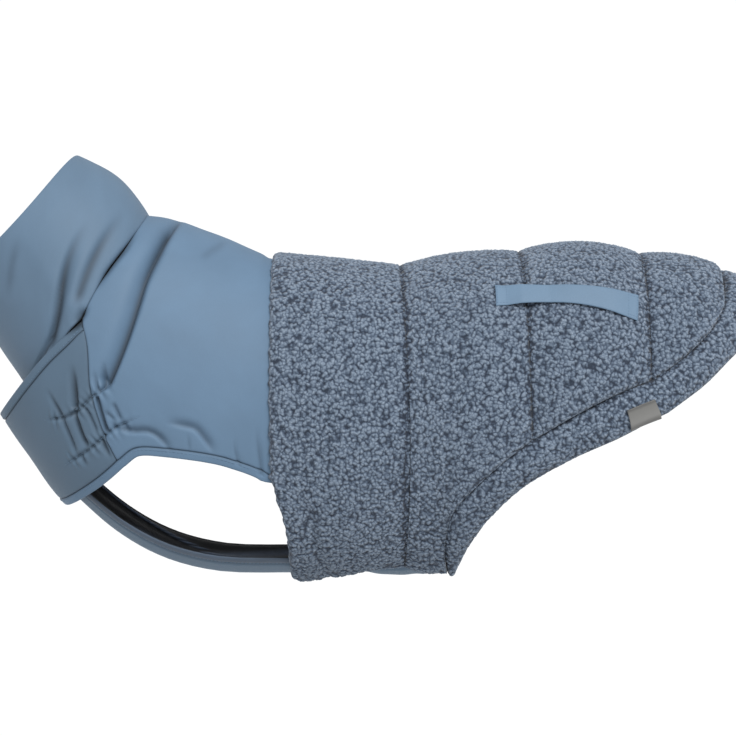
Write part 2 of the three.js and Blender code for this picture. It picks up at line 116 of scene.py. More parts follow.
def locate(points):
    """Places on the tube of side view points on the near flank."""
    points = np.asarray(points, float)
    front = np.full(points.shape[:-1], SECTIONS[0, 0])
    rear = np.full(points.shape[:-1], SECTIONS[-1, 0])
    for _ in range(36):
        middle = (front + rear) / 2
        top, low, _ = section(middle)
        run, gap = low - top, points - top
        behind = run[..., 0] * gap[..., 1] - run[..., 1] * gap[..., 0] < 0
        rear = np.where(behind, middle, rear)
        front = np.where(behind, front, middle)
    top, low, _ = section(front)
    run = low - top
    share = np.clip(((points - top) * run).sum(-1) / (run * run).sum(-1), 0, 1)
    return np.stack([front, np.degrees(np.arccos(1 - 2 * share))], -1)


def lengths(points):
    """How far along a line of points each of them lies."""
    return np.concatenate([[0], np.cumsum(np.linalg.norm(np.diff(points, axis=0), axis=1))])


CHEST = 150.0  # a station in the deepest part of the chest
round_chest = np.stack([np.full(181, CHEST), np.arange(0, 361, 2.0)], -1)
print("chest girth: %.0f mm" % lengths(tube(round_chest))[-1])

# %% [markdown]
# ## Seams as lines on the tube
# A seam is drawn in the side view, as a maker would chalk it on the flank, and then laid on the tube. Both
# panels that meet at a seam are built from the same line, so that they share it exactly.

# %% Seams and edges in the side view, as x, z on the near flank
NAPE, NECK_CORNER, BIB_CORNER, ARM_END = (-98, 31), (-138, -44), (-112, -152), (6, -165)
neck_seam = [NAPE, (-107, 10), (-121, -11), NECK_CORNER]
band_seam = [NECK_CORNER, (-133, -66), (-131, -96), (-124, -124), BIB_CORNER]
neck_edge = [NECK_CORNER, (-150, -57), (-167, -73), (-185, -93), (-214, -123)]
arm_top = [BIB_CORNER, (-98, -142), (-75, -142), (-44, -146), (-21, -152), ARM_END]
bib_low = [BIB_CORNER, (-129, -167), (-146, -179), (-168, -188)]
fleece_front = [(4, -3), (4.5, -46), (5, -105), ARM_END]
fleece_front_low = [ARM_END, (10, -181), (14.5, -197), (17, -213), (18, -229), (18.5, -246)]
fleece_low = [(18.5, -246), (27, -250), (45, -247), (66, -243), (84, -240), (107, -241)]
belly_end = [(107, -241), (124, -244), (141, -243)]
rump_seam_low = [(141, -243), (138, -215), (143, -192), (175, -158), (203, -137)]
rump_seam_mid = [(203, -137), (245, -113), (294, -93)]
rump_seam_high = [(294, -93), (315, -79), (338, -60), (353, -40)]
rump_edge_low = [(148, -243), (158, -219), (171, -199), (195, -175), (228, -155)]
rump_edge_mid = [(228, -155), (270, -136), (308, -117)]
rump_edge_high = [(308, -117), (336, -97), (357, -78), (371, -66)]
print("neck seam from", neck_seam[0], "to", neck_seam[-1])


# %% Lines on the tube
def spread(values, run, shares):
    """Values at even shares of a line's whole length."""
    at = np.asarray(shares) * run[-1]
    return np.stack([np.interp(at, run, values[:, k]) for k in range(values.shape[1])], -1)


def smooth_run(knots, shares):
    """Points at even shares of a smooth curve through the knots."""
    knots = np.asarray(knots, float)
    ends = np.vstack([2 * knots[0] - knots[1], knots, 2 * knots[-1] - knots[-2]])
    t = np.linspace(0, 1, 40, endpoint=False)[:, None]
    fine = []
    for a, b, c, d in zip(ends, ends[1:], ends[2:], ends[3:]):
        ab, bc, cd = (np.linalg.norm(q - p) ** 0.5 for p, q in ((a, b), (b, c), (c, d)))
        leave = ((b - a) / ab - (c - a) / (ab + bc) + (c - b) / bc) * bc
        reach = ((c - b) / bc - (d - b) / (bc + cd) + (d - c) / cd) * bc
        fine.append(hermite(t, b, c, leave, reach))
    fine = np.vstack([*fine, knots[-1:]])
    return spread(fine, lengths(fine), shares)


def seam(*lines):
    """One seam through several lines of the side view, each an equal share of it, as a function of shares."""
    knots = [locate(line) for line in lines]

    def at(shares):
        shares = np.asarray(shares, float)
        part = np.minimum((shares * len(knots)).astype(int), len(knots) - 1)
        places = np.empty((len(shares), 2))
        for k, line in enumerate(knots):
            mine = part == k
            places[mine] = smooth_run(line, shares[mine] * len(knots) - k)
        return places

    return at


def straight(a, b):
    """A straight line of places, as a function of shares."""
    a, b = np.asarray(a, float), np.asarray(b, float)
    return lambda shares: a + (b - a) * np.asarray(shares, float)[:, None]


def to_centre(line, centre=180.0):
    """The same seam with its end exactly on the centre line."""
    def at(shares):
        places = line(shares)
        gap = centre - line(np.array([1.0]))[0, 1]
        places[:, 1] += gap * np.asarray(shares) ** 6
        return places
    return at


def aside(line, width):
    """A seam moved sideways on the cloth by a width, to the left of its run seen from outside."""
    def at(shares):
        shares = np.asarray(shares, float)
        places = line(shares)
        run = tube(line(np.minimum(shares + 0.01, 1))) - tube(line(np.maximum(shares - 0.01, 0)))
        run /= np.linalg.norm(run, axis=1, keepdims=True)
        shift = np.cross(normals(tube, places), run) * width
        here = tube(places)
        along = tube(places + [1, 0]) - here
        around = tube(places + [0, 1]) - here
        aa, ar, rr = (along**2).sum(1), (along * around).sum(1), (around**2).sum(1)
        a, r = (shift * along).sum(1), (shift * around).sum(1)
        size = aa * rr - ar**2
        return places + np.stack([(a * rr - r * ar) / size, (r * aa - a * ar) / size], -1)
    return at


neck_line = seam(neck_seam)
band_line = seam(band_seam)
arm_line = seam(arm_top)
bib_line = to_centre(seam(bib_low))
collar_edge = to_centre(seam(neck_edge))
print("neck corner place:", band_line([0.0])[0].round(1))

# %% [markdown]
# ## Turning a patch of the tube into cloth
# Cloth has two faces and a rim. A patch of places gives the inside face, and the outside face lies a
# thickness further out. Near its edges the outside rolls down: a little way into a seam, or half way round
# where the cloth is folded into a hem. That roll catches the light along every edge, as on real cloth, and
# a groove forms by itself where two panels meet. Shade is also painted into the colour along each seam.

# %% Patches
EDGE_STEPS = (0.0, 0.35, 0.9, 1.7)
# The shade painted along each seam: how dark, and how wide
SEAM_SHADE, SEAM_WIDTH = 0.55, 0.9  # how dark a seam's groove looks, and how wide it is
# Edge kinds: how far in the roll reaches, and the share of the thickness it takes outside and inside
EDGES = {
    "seam": (2.2, 0.60, 0.0),
    "fold": (1.5, 0.48, 0.48),
    "pile": (5.5, 0.66, 0.0),
    "open": (0.0, 0.0, 0.0),
}


def steps(length, cell, start=True, end=True):
    """Shares of a line of this length for the rows of a mesh: one cell apart, but closer at the edges."""
    first = EDGE_STEPS if start else (0.0,)
    last = EDGE_STEPS if end else (0.0,)
    count = max(3, round((length - first[-1] - last[-1]) / cell) + 1)
    even = np.linspace(first[-1], length - last[-1], count)
    return np.concatenate([first[:-1], even, length - np.array(last[:-1])[::-1]]) / length


def patch(first, last, start, end, down, across):
    """Places between two lines that run across and two that run down."""
    a, b, c, d = first(across), last(across), start(down), end(down)
    s, t = down[:, None, None], across[None, :, None]
    corners = (1 - t) * ((1 - s) * a[0] + s * b[0]) + t * ((1 - s) * a[-1] + s * b[-1])
    return (1 - s) * a[None] + s * b[None] + (1 - t) * c[:, None] + t * d[:, None] - corners


def between(first, last, shares):
    """Places that lead from one line to another."""
    return first[None] + (last - first)[None] * shares[:, None, None]


def mirrored(places, turn=360.0):
    """The same places on the far flank. Their angle and the near one's add up to the turn."""
    other = places.copy()
    other[..., 1] = turn - other[..., 1]
    return other


def both_flanks(places, turn):
    """Joins a near patch to its mirror over the back (turn 0) or under the belly (turn 360)."""
    if turn == 0:
        return np.concatenate([mirrored(places, 0)[:, :0:-1], places], 1)
    return np.concatenate([places, mirrored(places)[:, -2::-1]], 1)


print("edge kinds:", sorted(EDGES))


# %% Parts of a cloth wall
def bell(distance, width, power=2):
    """1 on a line, fading smoothly to 0 about two widths off it."""
    return np.exp(-((distance / width) ** power))


def runs(points, axis):
    """Distances from the first and the last line of a grid, along its cloth."""
    step = np.linalg.norm(np.diff(points, axis=axis), axis=-1)
    run = np.cumsum(step, axis=axis)
    run = np.concatenate([np.zeros_like(np.take(run, [0], axis)), run], axis)
    return run, np.take(run, [-1], axis) - run


def border(rows, columns, ring):
    """Indices round a grid's edge, with the cloth on the left."""
    k = np.arange(rows * columns).reshape(rows, columns)
    if ring:
        return [np.append(k[0], k[0, 0]), np.append(k[-1, ::-1], k[-1, -1])]
    return [np.concatenate([k[0], k[1:, -1], k[-1, -2::-1], k[-2::-1, 0]])]


def quads(rows, columns, ring):
    """The four-sided faces of a grid."""
    i, j = np.meshgrid(np.arange(rows - 1), np.arange(columns if ring else columns - 1), indexing="ij")
    here, beside = i * columns + j, i * columns + (j + 1) % columns
    return np.stack([here, here + columns, beside + columns, beside], -1).reshape(-1, 4)


def edge_roll(distances, sides):
    """Shares of the thickness kept outside and inside near the edges, and the shade painted into the seams.
    """
    keep_out, keep_in, shade = 1.0, 1.0, 0.0
    for distance, kind in zip(distances, sides):
        reach, outside, inside = EDGES[kind]
        if reach:
            roll = 1 - np.sqrt(1 - (1 - np.clip(distance / reach, 0, 1)) ** 2)
            keep_out = keep_out * (1 - outside * roll)
            keep_in = keep_in * (1 - inside * roll)
        if kind == "seam":
            shade = shade + SEAM_SHADE * bell(distance, SEAM_WIDTH)
    return keep_out, keep_in, shade


def both_faces(values, coarse):
    """A grid's values, one for each point of the outside face and then of the coarser inside."""
    inside = values[::coarse, ::coarse]
    return np.concatenate([face.reshape(-1, *values.shape[2:]) for face in (values, inside)])


print("faces of a small grid:", len(quads(4, 4, ring=False)))


# %% Meshes and what they carry
def put_in_scene(name, data):
    """A new object from a mesh, a lamp or a camera."""
    made = bpy.data.objects.new(name, data)
    bpy.context.scene.collection.objects.link(made)
    return made


def new_piece(name, points, edges, faces):
    """A new piece from points in the tables' millimetres."""
    mesh = bpy.data.meshes.new(name)
    mesh.from_pydata(((np.asarray(points) + [0, 0, WITHERS]) * MM).tolist(), edges, faces)
    return put_in_scene(name, mesh)


def lay_flat(mesh, flat):
    """Stores each point's place on the flat cut, in metres, as the UV map Cloth."""
    loops = np.empty(len(mesh.loops), np.int32)
    mesh.loops.foreach_get("vertex_index", loops)
    mesh.uv_layers.new(name="Cloth").data.foreach_set("uv", flat[loops].ravel().astype(np.float32))


def note(mesh, name, values, kind="FLOAT", field="value"):
    """Stores a value for each point. Finishes and Geometry Nodes read it by its name."""
    mesh.attributes.new(name, kind, "POINT").data.foreach_set(field, values.ravel().astype(np.float32))


def triangles(piece):
    return sum(len(face.vertices) - 2 for face in piece.data.polygons)


print("one millimetre is", MM, "metres")


# %% The cloth maker
def cloth(name, points, out, under, thick, sides, finishes, ring=False, coarse=1, trim=0.0, hollow=0.0):
    """A closed cloth mesh. sides are the kinds of its first and last row and its first and last column.
    A third finish shows on the outside, along the first and last column, as wide as the trim."""
    rows, columns = points.shape[:2]
    u, u_left = runs(points, 1)
    v, v_left = runs(points, 0)
    keep_out, keep_in, shade = edge_roll((v, v_left, u, u_left), sides)
    outer = points + out * np.broadcast_to(under + thick * keep_out, u.shape)[..., None]
    inner = points + out * np.broadcast_to(under + thick * (1 - keep_in), u.shape)[..., None]
    inner = inner[::coarse, ::coarse]
    face = quads(rows, columns, ring)
    back = quads(*inner.shape[:2], ring)[:, ::-1] + rows * columns
    rim = []
    for near, far in zip(border(rows, columns, ring), border(*inner.shape[:2], ring)):
        far = far + rows * columns
        for m in range(len(far) - 1):
            rim.append([*near[m * coarse:(m + 1) * coarse + 1].tolist(), int(far[m + 1]), int(far[m])])
    faces = [*face.tolist(), *back.tolist(), *rim]
    corner = outer.reshape(-1, 3)[face]
    facing = np.cross(corner[:, 1] - corner[:, 0], corner[:, 3] - corner[:, 0])
    if (facing * out.reshape(-1, 3)[face[:, 0]]).sum() < 0:
        faces = [f[::-1] for f in faces]
    piece = new_piece(name, np.concatenate([outer.reshape(-1, 3), inner.reshape(-1, 3)]), [], faces)
    mesh = piece.data
    lay_flat(mesh, both_faces(np.stack([u - (u + u_left) / 2, v], -1), coarse) * MM)
    for one in finishes:
        mesh.materials.append(one)
    index = np.zeros(len(faces), np.int32)
    index[len(face):len(face) + len(back)] = min(1, len(finishes) - 1)
    if trim:
        edge = np.minimum(u, u_left).ravel()
        index[:len(face)] = np.where(edge[face].mean(1) < trim, 2, 0)
    mesh.polygons.foreach_set("material_index", index)
    mesh.polygons.foreach_set("use_smooth", np.arange(len(faces)) < len(face) + len(back))
    note(mesh, "pile", np.arange(len(mesh.vertices)) < rows * columns)
    note(mesh, "hollow", both_faces(np.broadcast_to(hollow + shade, u.shape), coarse))
    note(mesh, "outward", both_faces(out, coarse), "FLOAT_VECTOR", "vector")
    mesh.update()
    print(f"{name}: {rows} x {columns} points, {len(faces)} faces")
    return piece


def wear(piece, node):
    """Hangs a finished piece on the coat's one body, in place of a plain node."""
    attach(piece, "root")
    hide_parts(node)


# %% [markdown]
# ## Creases
# Smooth softshell shows every pull. One long drag runs from the withers to the gathers, and two elastic
# rows on the chest draw the cloth into short uneven tucks. Each is a soft trough along a line, with its own
# depth, its own width on each side, a fade at each end, and shade painted into its core. The hidden flank
# gets the same kinds, shifted and a little weaker, because two sides of a real coat never match.

# %% The creases' table
# Columns: name, line in the side view, depth, width to its rear and to its front, fade at its start and end
BODY_CREASES = [
    ("shoulder drag",
     [(-71, 30), (-76, 20), (-82, 5), (-89, -14), (-95, -36), (-103, -61), (-113, -86), (-119, -98)],
     7.0, 1.7, 8.5, 0.08, 0.05),
    ("drag's broad head", [(-71, 30), (-78, 13), (-86, -8), (-92, -26)], 3.4, 3.4, 5.0, 0.1, 0.6),
    ("withers pull", [(-52, -2), (-42, 6), (-32, 12)], 1.0, 3.5, 4.5, 0.3, 0.3),
    ("upper tuck 1", [(-166, -96), (-160, -107), (-154, -118)], 2.6, 1.5, 2.2, 0.8, 0.0),
    ("upper tuck 2", [(-145, -76), (-143, -92), (-142, -112)], 4.4, 1.8, 3.4, 0.7, 0.0),
    ("upper tuck 3", [(-128, -82), (-125, -98)], 2.4, 1.3, 1.8, 0.8, 0.0),
    ("upper tuck 4", [(-120, -74), (-120, -98)], 3.6, 1.6, 2.4, 0.8, 0.0),
    ("casing tuck 1", [(-154, -118), (-147, -137), (-143, -149)], 2.6, 1.4, 1.9, 0.15, 0.3),
    ("casing tuck 2", [(-144, -114), (-138, -134), (-133, -144)], 4.2, 1.6, 2.2, 0.0, 0.2),
    ("casing tuck 3", [(-135, -110), (-128, -126), (-126, -133)], 2.2, 1.2, 1.6, 0.1, 0.3),
    ("casing tuck 4", [(-126, -103), (-122, -119), (-118, -132)], 4.2, 1.6, 2.3, 0.0, 0.15),
    ("casing tuck 5", [(-121, -113), (-109, -123)], 1.8, 1.3, 1.6, 0.3, 0.5),
    ("casing tuck 6", [(-114, -106), (-107, -122)], 2.2, 1.4, 1.9, 0.3, 0.3),
    ("lower tuck 1", [(-140, -149), (-135, -158)], 2.4, 1.4, 1.9, 0.0, 0.8),
    ("lower tuck 2", [(-123, -136), (-116, -152)], 3.6, 1.5, 2.3, 0.0, 0.7),
    ("lower tuck 3", [(-105, -123), (-101, -131)], 1.6, 1.4, 1.7, 0.0, 0.8),
    ("sleeve drag 1", [(-119, -124), (-99, -129), (-88, -129), (-80, -133), (-68, -147)],
     2.8, 3.6, 1.5, 0.25, 0.3),
    ("sleeve drag 2", [(-76, -121), (-63, -124), (-52, -127), (-45, -135), (-36, -148)],
     2.6, 4.2, 1.6, 0.35, 0.3),
    ("hem pull 1", [(-58, -128), (-57, -137), (-57, -146)], 1.2, 1.4, 1.4, 0.8, 0.4),
    ("hem pull 2", [(-22, -130), (-22, -142), (-19, -156)], 1.4, 1.4, 1.4, 0.8, 0.1),
    ("fold by the fleece", [(-6, -122), (-4, -141), (-2, -163)], 1.8, 1.5, 1.9, 0.7, 0.0),
    ("corner pinch", [(-132, -34), (-138, -44), (-141, -52)], 3.0, 3.0, 3.0, 0.5, 0.5),
    ("neck pinch", [(-100, 25), (-105, 11), (-112, 1), (-121, -12), (-129, -28)], 2.6, 2.8, 2.8, 0.4, 0.4),
]
HEM_CREASES = [
    ("corner recess", [(-136, -41), (-141, -48), (-148, -55), (-155, -62)], 5.0, 5.2, 5.2, 0.0, 0.8),
]
# Rows of elastic: a shallow trough with small ripples beside it. The last column is the ripples' height.
GATHER_ROWS = [
    ("upper row", [(-167, -122), (-151, -119), (-140, -113), (-131, -104), (-122, -98), (-112, -91)],
     2.6, 1.4, 1.4, 0.15, 0.15, 1.2),
    ("lower row",
     [(-153, -157), (-140, -148), (-132, -143), (-120, -132), (-113, -127), (-106, -123), (-93, -117)],
     2.6, 1.4, 1.4, 0.15, 0.30, 1.1),
]
COLLAR_CREASES = [
    ("throat fold",
     [(-133, 32), (-142, 16), (-149, -2), (-153, -20), (-156, -38), (-160, -56), (-166, -74)],
     6.0, 10.0, 3.0, 0.55, 0.15),
    ("nape fold", [(-110, 38), (-120, 20), (-129, 2), (-137, -18), (-143, -36)], 3.6, 8.0, 3.6, 0.55, 0.15),
    ("ridge between", [(-132, 18), (-142, -8), (-148, -30), (-154, -50)], -1.8, 5.0, 5.0, 0.5, 0.3),
    ("throat fold's core", [(-154, -24), (-157, -42), (-163, -60), (-172, -77), (-181, -92)],
     5.4, 2.2, 1.2, 0.6, 0.0),
    ("front sag", [(-186, 20), (-193, -8), (-196, -34)], 1.6, 14.0, 14.0, 0.4, 0.4),
    ("corner pinch", [(-134, -36), (-138, -44), (-143, -50)], 3.5, 4.5, 4.5, 0.3, 0.4),
    ("neck pinch", [(-100, 25), (-105, 11), (-112, 1), (-121, -12), (-129, -28)], 2.4, 2.8, 2.8, 0.4, 0.4),
]
BODY_PULLS = BODY_CREASES + GATHER_ROWS
print("creases:", len(BODY_PULLS), "on the body,", len(COLLAR_CREASES), "on the collar")

# %% How a crease moves the cloth
FAR_SHIFT = np.array([4.0, -6.0])  # the far flank's creases lie this much off the near ones'
FAR_SHARE = 0.8  # and are this share as deep
BACK_BLEND = 14.0  # the two flanks' creases fade into each other over this much each side of the back


def ease(share):
    """A share from 0 to 1 that starts and stops smoothly."""
    return share * share * (3 - 2 * share)


def beside(line, points):
    """Each point's distance from a line, the side of it that the point is on, and the share along it."""
    best = np.full(len(points), np.inf)
    side, share = np.zeros(len(points)), np.zeros(len(points))
    for k, (a, b) in enumerate(zip(line, line[1:])):
        run, gap = b - a, points - a
        t = np.clip((gap @ run) / (run @ run), 0, 1)
        far = ((gap - t[:, None] * run) ** 2).sum(1)
        nearer = far < best
        best = np.where(nearer, far, best)
        side = np.where(nearer, run[0] * gap[:, 1] - run[1] * gap[:, 0], side)
        share = np.where(nearer, (k + t) / (len(line) - 1), share)
    return np.sqrt(best), side, share


def crease_lift(side_view, creases):
    """How far the creases lift the cloth at side view points, and how deep in a crease each point lies, for
    painted shade.
    """
    lift, hollow = np.zeros(side_view.shape[:-1]), np.zeros(side_view.shape[:-1])
    for _, line, deep, rear, front, start_fade, end_fade, *ripple in creases:
        line = smooth_run(line, np.linspace(0, 1, 14))
        reach = 2.6 * max(rear, front) + 8 * len(ripple)
        close = ((side_view > line.min(0) - reach) & (side_view < line.max(0) + reach)).all(-1)
        if not close.any():
            continue
        distance, side, share = beside(line, side_view[close])
        begun, left = share / max(start_fade, 1e-3), (1 - share) / max(end_fade, 1e-3)
        fade = ease(np.clip(begun, 0, 1) * np.clip(left, 0, 1))
        wide = np.where(side > 0, rear, front)
        value = -deep * bell(distance, wide) * fade
        core = min(1, abs(deep) / 5) * (deep > 0) * bell(distance, 0.75 * np.minimum(wide, 4.6)) * fade
        for height in ripple:
            run = share * lengths(line)[-1]
            beat = 0.7 + 0.3 * np.sin(run / 3.7)
            wave = np.sin(2 * np.pi * (run / 5.4 + 0.35 * np.sin(run / 6.1))) * beat
            value += height * wave * bell(distance, 6.5) * fade
            core *= np.clip(1.1 - 0.9 * wave, 0, 1.6)
        lift[close] += value
        hollow[close] = np.maximum(hollow[close], core)
    return lift, hollow


def folds(points, creases):
    """Lift and hollow of the creases on both flanks."""
    side_view = points[..., (0, 2)]
    near = ease(np.clip(0.5 - points[..., 1] / (2 * BACK_BLEND), 0, 1))
    here, there = crease_lift(side_view, creases), crease_lift(side_view - FAR_SHIFT, creases)
    return [near * a + (1 - near) * FAR_SHARE * b for a, b in zip(here, there)]


def sway(points, height):
    """The slow unevenness of cloth that nothing pulls flat."""
    x, y, z = points[..., 0], points[..., 1], points[..., 2]
    slow = np.sin(x / 17 + z / 29) * np.sin(z / 21 - y / 34 + 1.3)
    return height * (slow + 0.5 * np.sin(x / 9.5 - z / 13 + y / 19))


print("deepest crease at the shoulder: %.1f mm" % max(row[2] for row in BODY_PULLS))

# %% [markdown]
# ## Finishes: shared effects
# Three effects serve the cloths here, so they are node groups. One is a weave: fine threads that cross,
# read from the cloth's own UV map so that they follow each panel. Mottling is the slow shift of tone that
# keeps any real cloth from being one flat colour. The third paints shade into a cloth's creases, by how
# deep each point lies in one. They put out values and colours only, and each material sets its own amounts.

# %% Helpers for nodes
def add(tree, kind, inputs=None, **settings):
    """Adds a node. Inputs are sockets to link or values to set, by name or place."""
    made = tree.nodes.new(kind)
    for key, value in settings.items():
        setattr(made, key, value)
    for key, value in (inputs or {}).items():
        if isinstance(value, bpy.types.NodeSocket):
            tree.links.new(value, made.inputs[key])
        else:
            made.inputs[key].default_value = value
    return made


def math_node(tree, operation, a, b=0.0):
    """The result of one step of arithmetic on sockets or values."""
    return add(tree, "ShaderNodeMath", {0: a, 1: b}, operation=operation).outputs[0]


def scaled_by(tree, vector, scale):
    """A vector or a colour with all its parts multiplied alike."""
    return add(tree, "ShaderNodeVectorMath", {0: vector, "Scale": scale}, operation="SCALE").outputs[0]


def group(name, inputs, outputs, kind="Shader"):
    """An empty node tree with its sockets, each given as kind, name and perhaps a value."""
    made = bpy.data.node_groups.new(name, kind + "NodeTree")
    for direction, sockets in (("INPUT", inputs), ("OUTPUT", outputs)):
        for sort, label, *value in sockets:
            socket = made.interface.new_socket(name=label, in_out=direction, socket_type="NodeSocket" + sort)
            if value:
                socket.default_value = value[0]
    return made, made.nodes.new("NodeGroupInput").outputs, made.nodes.new("NodeGroupOutput").inputs


print("node groups so far:", len(bpy.data.node_groups))

# %% Weave, mottling and crease groups
TURN = 6.2832

weave, given, result = group(
    "Woven threads", [("Vector", "Place"), ("Float", "Pitch", 0.0006)], [("Float", "Height")]
)
across = scaled_by(weave, given["Place"], math_node(weave, "DIVIDE", TURN, given["Pitch"]))
across = add(weave, "ShaderNodeSeparateXYZ", {0: across}).outputs
crossing = math_node(weave, "MULTIPLY", *[math_node(weave, "SINE", across[axis]) for axis in "XY"])
over = add(weave, "ShaderNodeMath", {0: crossing, 1: 0.5, 2: 0.5}, operation="MULTIPLY_ADD")
weave.links.new(over.outputs[0], result["Height"])

mottling, given, result = group(
    "Cloth mottling",
    [("Vector", "Place"), ("Float", "Size", 0.03), ("Float", "Grain", 0.0012)],
    [("Float", "Patches"), ("Float", "Fuzz")],
)
for effect, size, detail, roughness in (("Patches", "Size", 3.0, 0.55), ("Fuzz", "Grain", 2.0, 0.6)):
    noise = add(mottling, "ShaderNodeTexNoise", {
        "Vector": given["Place"], "Detail": detail, "Roughness": roughness,
        "Scale": math_node(mottling, "DIVIDE", 1.0, given[size]),
    })
    mottling.links.new(noise.outputs[0], result[effect])

creased, given, result = group(
    "Shade in creases", [("Color", "Cloth"), ("Float", "Amount", 0.7)], [("Color", "Color")]
)
# Painted shade: the hollow attribute darkens the colour in creases and seams, and lightens it where below
# zero
depth = add(creased, "ShaderNodeAttribute", attribute_name="hollow").outputs["Fac"]
shade = math_node(creased, "SUBTRACT", 1.0, math_node(creased, "MULTIPLY", depth, given["Amount"]))
shade = math_node(creased, "MAXIMUM", shade, 0.0)
creased.links.new(scaled_by(creased, given["Cloth"], shade), result["Color"])
print("groups:", [tree.name for tree in bpy.data.node_groups])


# %% Helpers for finishes
def use(tree, made, values):
    """Places a group in a material with that material's own values."""
    return add(tree, "ShaderNodeGroup", values, node_tree=made).outputs


def material(name):
    made = bpy.data.materials.new(name)
    made.use_nodes = True
    shader = made.node_tree.nodes["Principled BSDF"]
    return made, made.node_tree, shader


def paint(tree, shader, mask, stops):
    """Base colour from a mask through stops of (place, colour). Returns the colour's socket."""
    ramp = add(tree, "ShaderNodeValToRGB", {0: mask})
    band = ramp.color_ramp.elements
    for _ in stops[2:]:
        band.new(0.5)
    for stop, (place, colour) in zip(band, stops):
        stop.position = place
        stop.color = (*colour, 1)
    tree.links.new(ramp.outputs["Color"], shader.inputs["Base Color"])
    return ramp.outputs["Color"]


def relief(tree, shader, heights):
    """Bump from several heights, as (height, size of the step in metres)."""
    last = None
    for height, step in heights:
        bump = add(tree, "ShaderNodeBump", {"Height": height, "Distance": step, "Strength": 1.0})
        if last:
            tree.links.new(last, bump.inputs["Normal"])
        last = bump.outputs[0]
    tree.links.new(last, shader.inputs["Normal"])


def sheen(shader, weight, roughness):
    shader.inputs["Sheen Weight"].default_value = weight
    shader.inputs["Sheen Roughness"].default_value = roughness


print("materials so far:", len(bpy.data.materials))

# %% [markdown]
# ## Smooth cloths: softshell, lining, tape, label and thread
# Softshell is a matt, tightly woven face bonded to a knit. From a metre away its weave is only a faint
# grain, so its bump is a few hundredths of a millimetre. What the eye does see is a soft sheen, slow
# changes of tone and darker creases, with shade painted in. The lining is the same idea in black, its
# ridges painted lighter as highlight. The tape has a coarser weave, and the label is a ribbed satin.

# %% Smooth cloths
# Columns: name, colour, how much darker and lighter its patches go, weave pitch and step in metres,
# roughness, sheen, how strongly shade is painted into its creases
CLOTHS = [
    ("softshell", (0.133, 0.223, 0.336), (0.93, 1.07), 0.00062, 0.000035, 0.62, 0.06, 0.8),
    # A darker copy of the softshell: painted shade on the chest band, the neck hem and the strap
    ("chest softshell in painted shade", (0.102, 0.165, 0.238), (0.93, 1.07), 0.00062, 0.000035, 0.62, 0.06, 0.8),
    # A slightly darker copy of the softshell: painted shade on the collar
    ("collar softshell in painted shade", (0.131, 0.211, 0.308), (0.93, 1.07), 0.00062, 0.000035, 0.62, 0.06, 0.8),
    # A high crease amount: strong painted shade in its seams, and painted highlight where the hollow is below
    # zero
    ("lining", (0.0065, 0.0085, 0.0125), (0.75, 1.35), 0.00080, 0.000050, 0.50, 0.10, 6.0),
    ("tape", (0.158, 0.254, 0.370), (0.92, 1.08), 0.00110, 0.000090, 0.55, 0.10, 0.8),
    # A darker copy of the softshell: painted shade on the strap's rolled hem
    ("strap hem in painted shade", (0.080, 0.112, 0.158), (0.85, 1.15), 0.00080, 0.000060, 0.60, 0.0, 0.8),
    ("thread", (0.150, 0.245, 0.360), (0.85, 1.15), 0.00040, 0.000060, 0.60, 0.10, 0.8),
]


def smooth_cloth(name, colour, patches, pitch, step, roughness, soft_sheen, creases):
    made, tree, shader = material(name)
    place = add(tree, "ShaderNodeUVMap", uv_map="Cloth").outputs[0]
    shade = use(tree, mottling, {"Place": place, "Size": 0.045, "Grain": 0.0011})
    threads = use(tree, weave, {"Place": place, "Pitch": pitch})
    mask = add(tree, "ShaderNodeMix", {0: 0.25, 2: shade["Patches"], 3: shade["Fuzz"]}).outputs[0]
    darker, lighter = (tuple(c * share for c in colour) for share in patches)
    dyed = paint(tree, shader, mask, [(0.32, darker), (0.68, lighter)])
    # Painted shade in the creases
    crease_shaded = use(tree, creased, {"Cloth": dyed, "Amount": creases})["Color"]
    tree.links.new(crease_shaded, shader.inputs["Base Color"])
    relief(tree, shader, [(shade["Fuzz"], step * 1.5), (threads["Height"], step)])
    rubbed = add(tree, "ShaderNodeMapRange", {0: shade["Patches"], 3: roughness - 0.05, 4: roughness + 0.07})
    tree.links.new(rubbed.outputs[0], shader.inputs["Roughness"])
    sheen(shader, soft_sheen, 0.45)
    return made


finish = {row[0]: smooth_cloth(*row) for row in CLOTHS}
print("smooth cloths:", sorted(finish))

# %% Label satin
LABEL_LENGTH = 0.0165  # from the seam to the fold, in metres
label_satin, tree, shader = material("label satin")
place = add(tree, "ShaderNodeUVMap", uv_map="Cloth").outputs[0]
ribs = add(tree, "ShaderNodeTexWave", {
    "Vector": place, "Scale": 420.0, "Distortion": 0.6,
}, bands_direction="X")
shade = use(tree, mottling, {"Place": place, "Size": 0.012, "Grain": 0.0008})
from_seam = add(tree, "ShaderNodeSeparateXYZ", {0: place}).outputs["Y"]
from_seam = add(tree, "ShaderNodeMapRange", {"Value": from_seam, "From Max": LABEL_LENGTH}).outputs[0]
mask = math_node(tree, "ADD", from_seam, math_node(tree, "MULTIPLY", shade["Patches"], 0.12))
# Painted shadow where the satin goes into the seam, lighter over its middle, and darker again towards the
# fold
paint(tree, shader, mask, [
    (0.06, (0.080, 0.079, 0.075)),
    (0.24, (0.195, 0.193, 0.184)),
    (0.78, (0.245, 0.242, 0.233)),
    (0.98, (0.150, 0.148, 0.141)),
])
relief(tree, shader, [(ribs.outputs["Fac"], 0.00004), (shade["Fuzz"], 0.00003)])
shader.inputs["Roughness"].default_value = 0.36
finish["label"] = label_satin
print("label satin nodes:", len(tree.nodes))

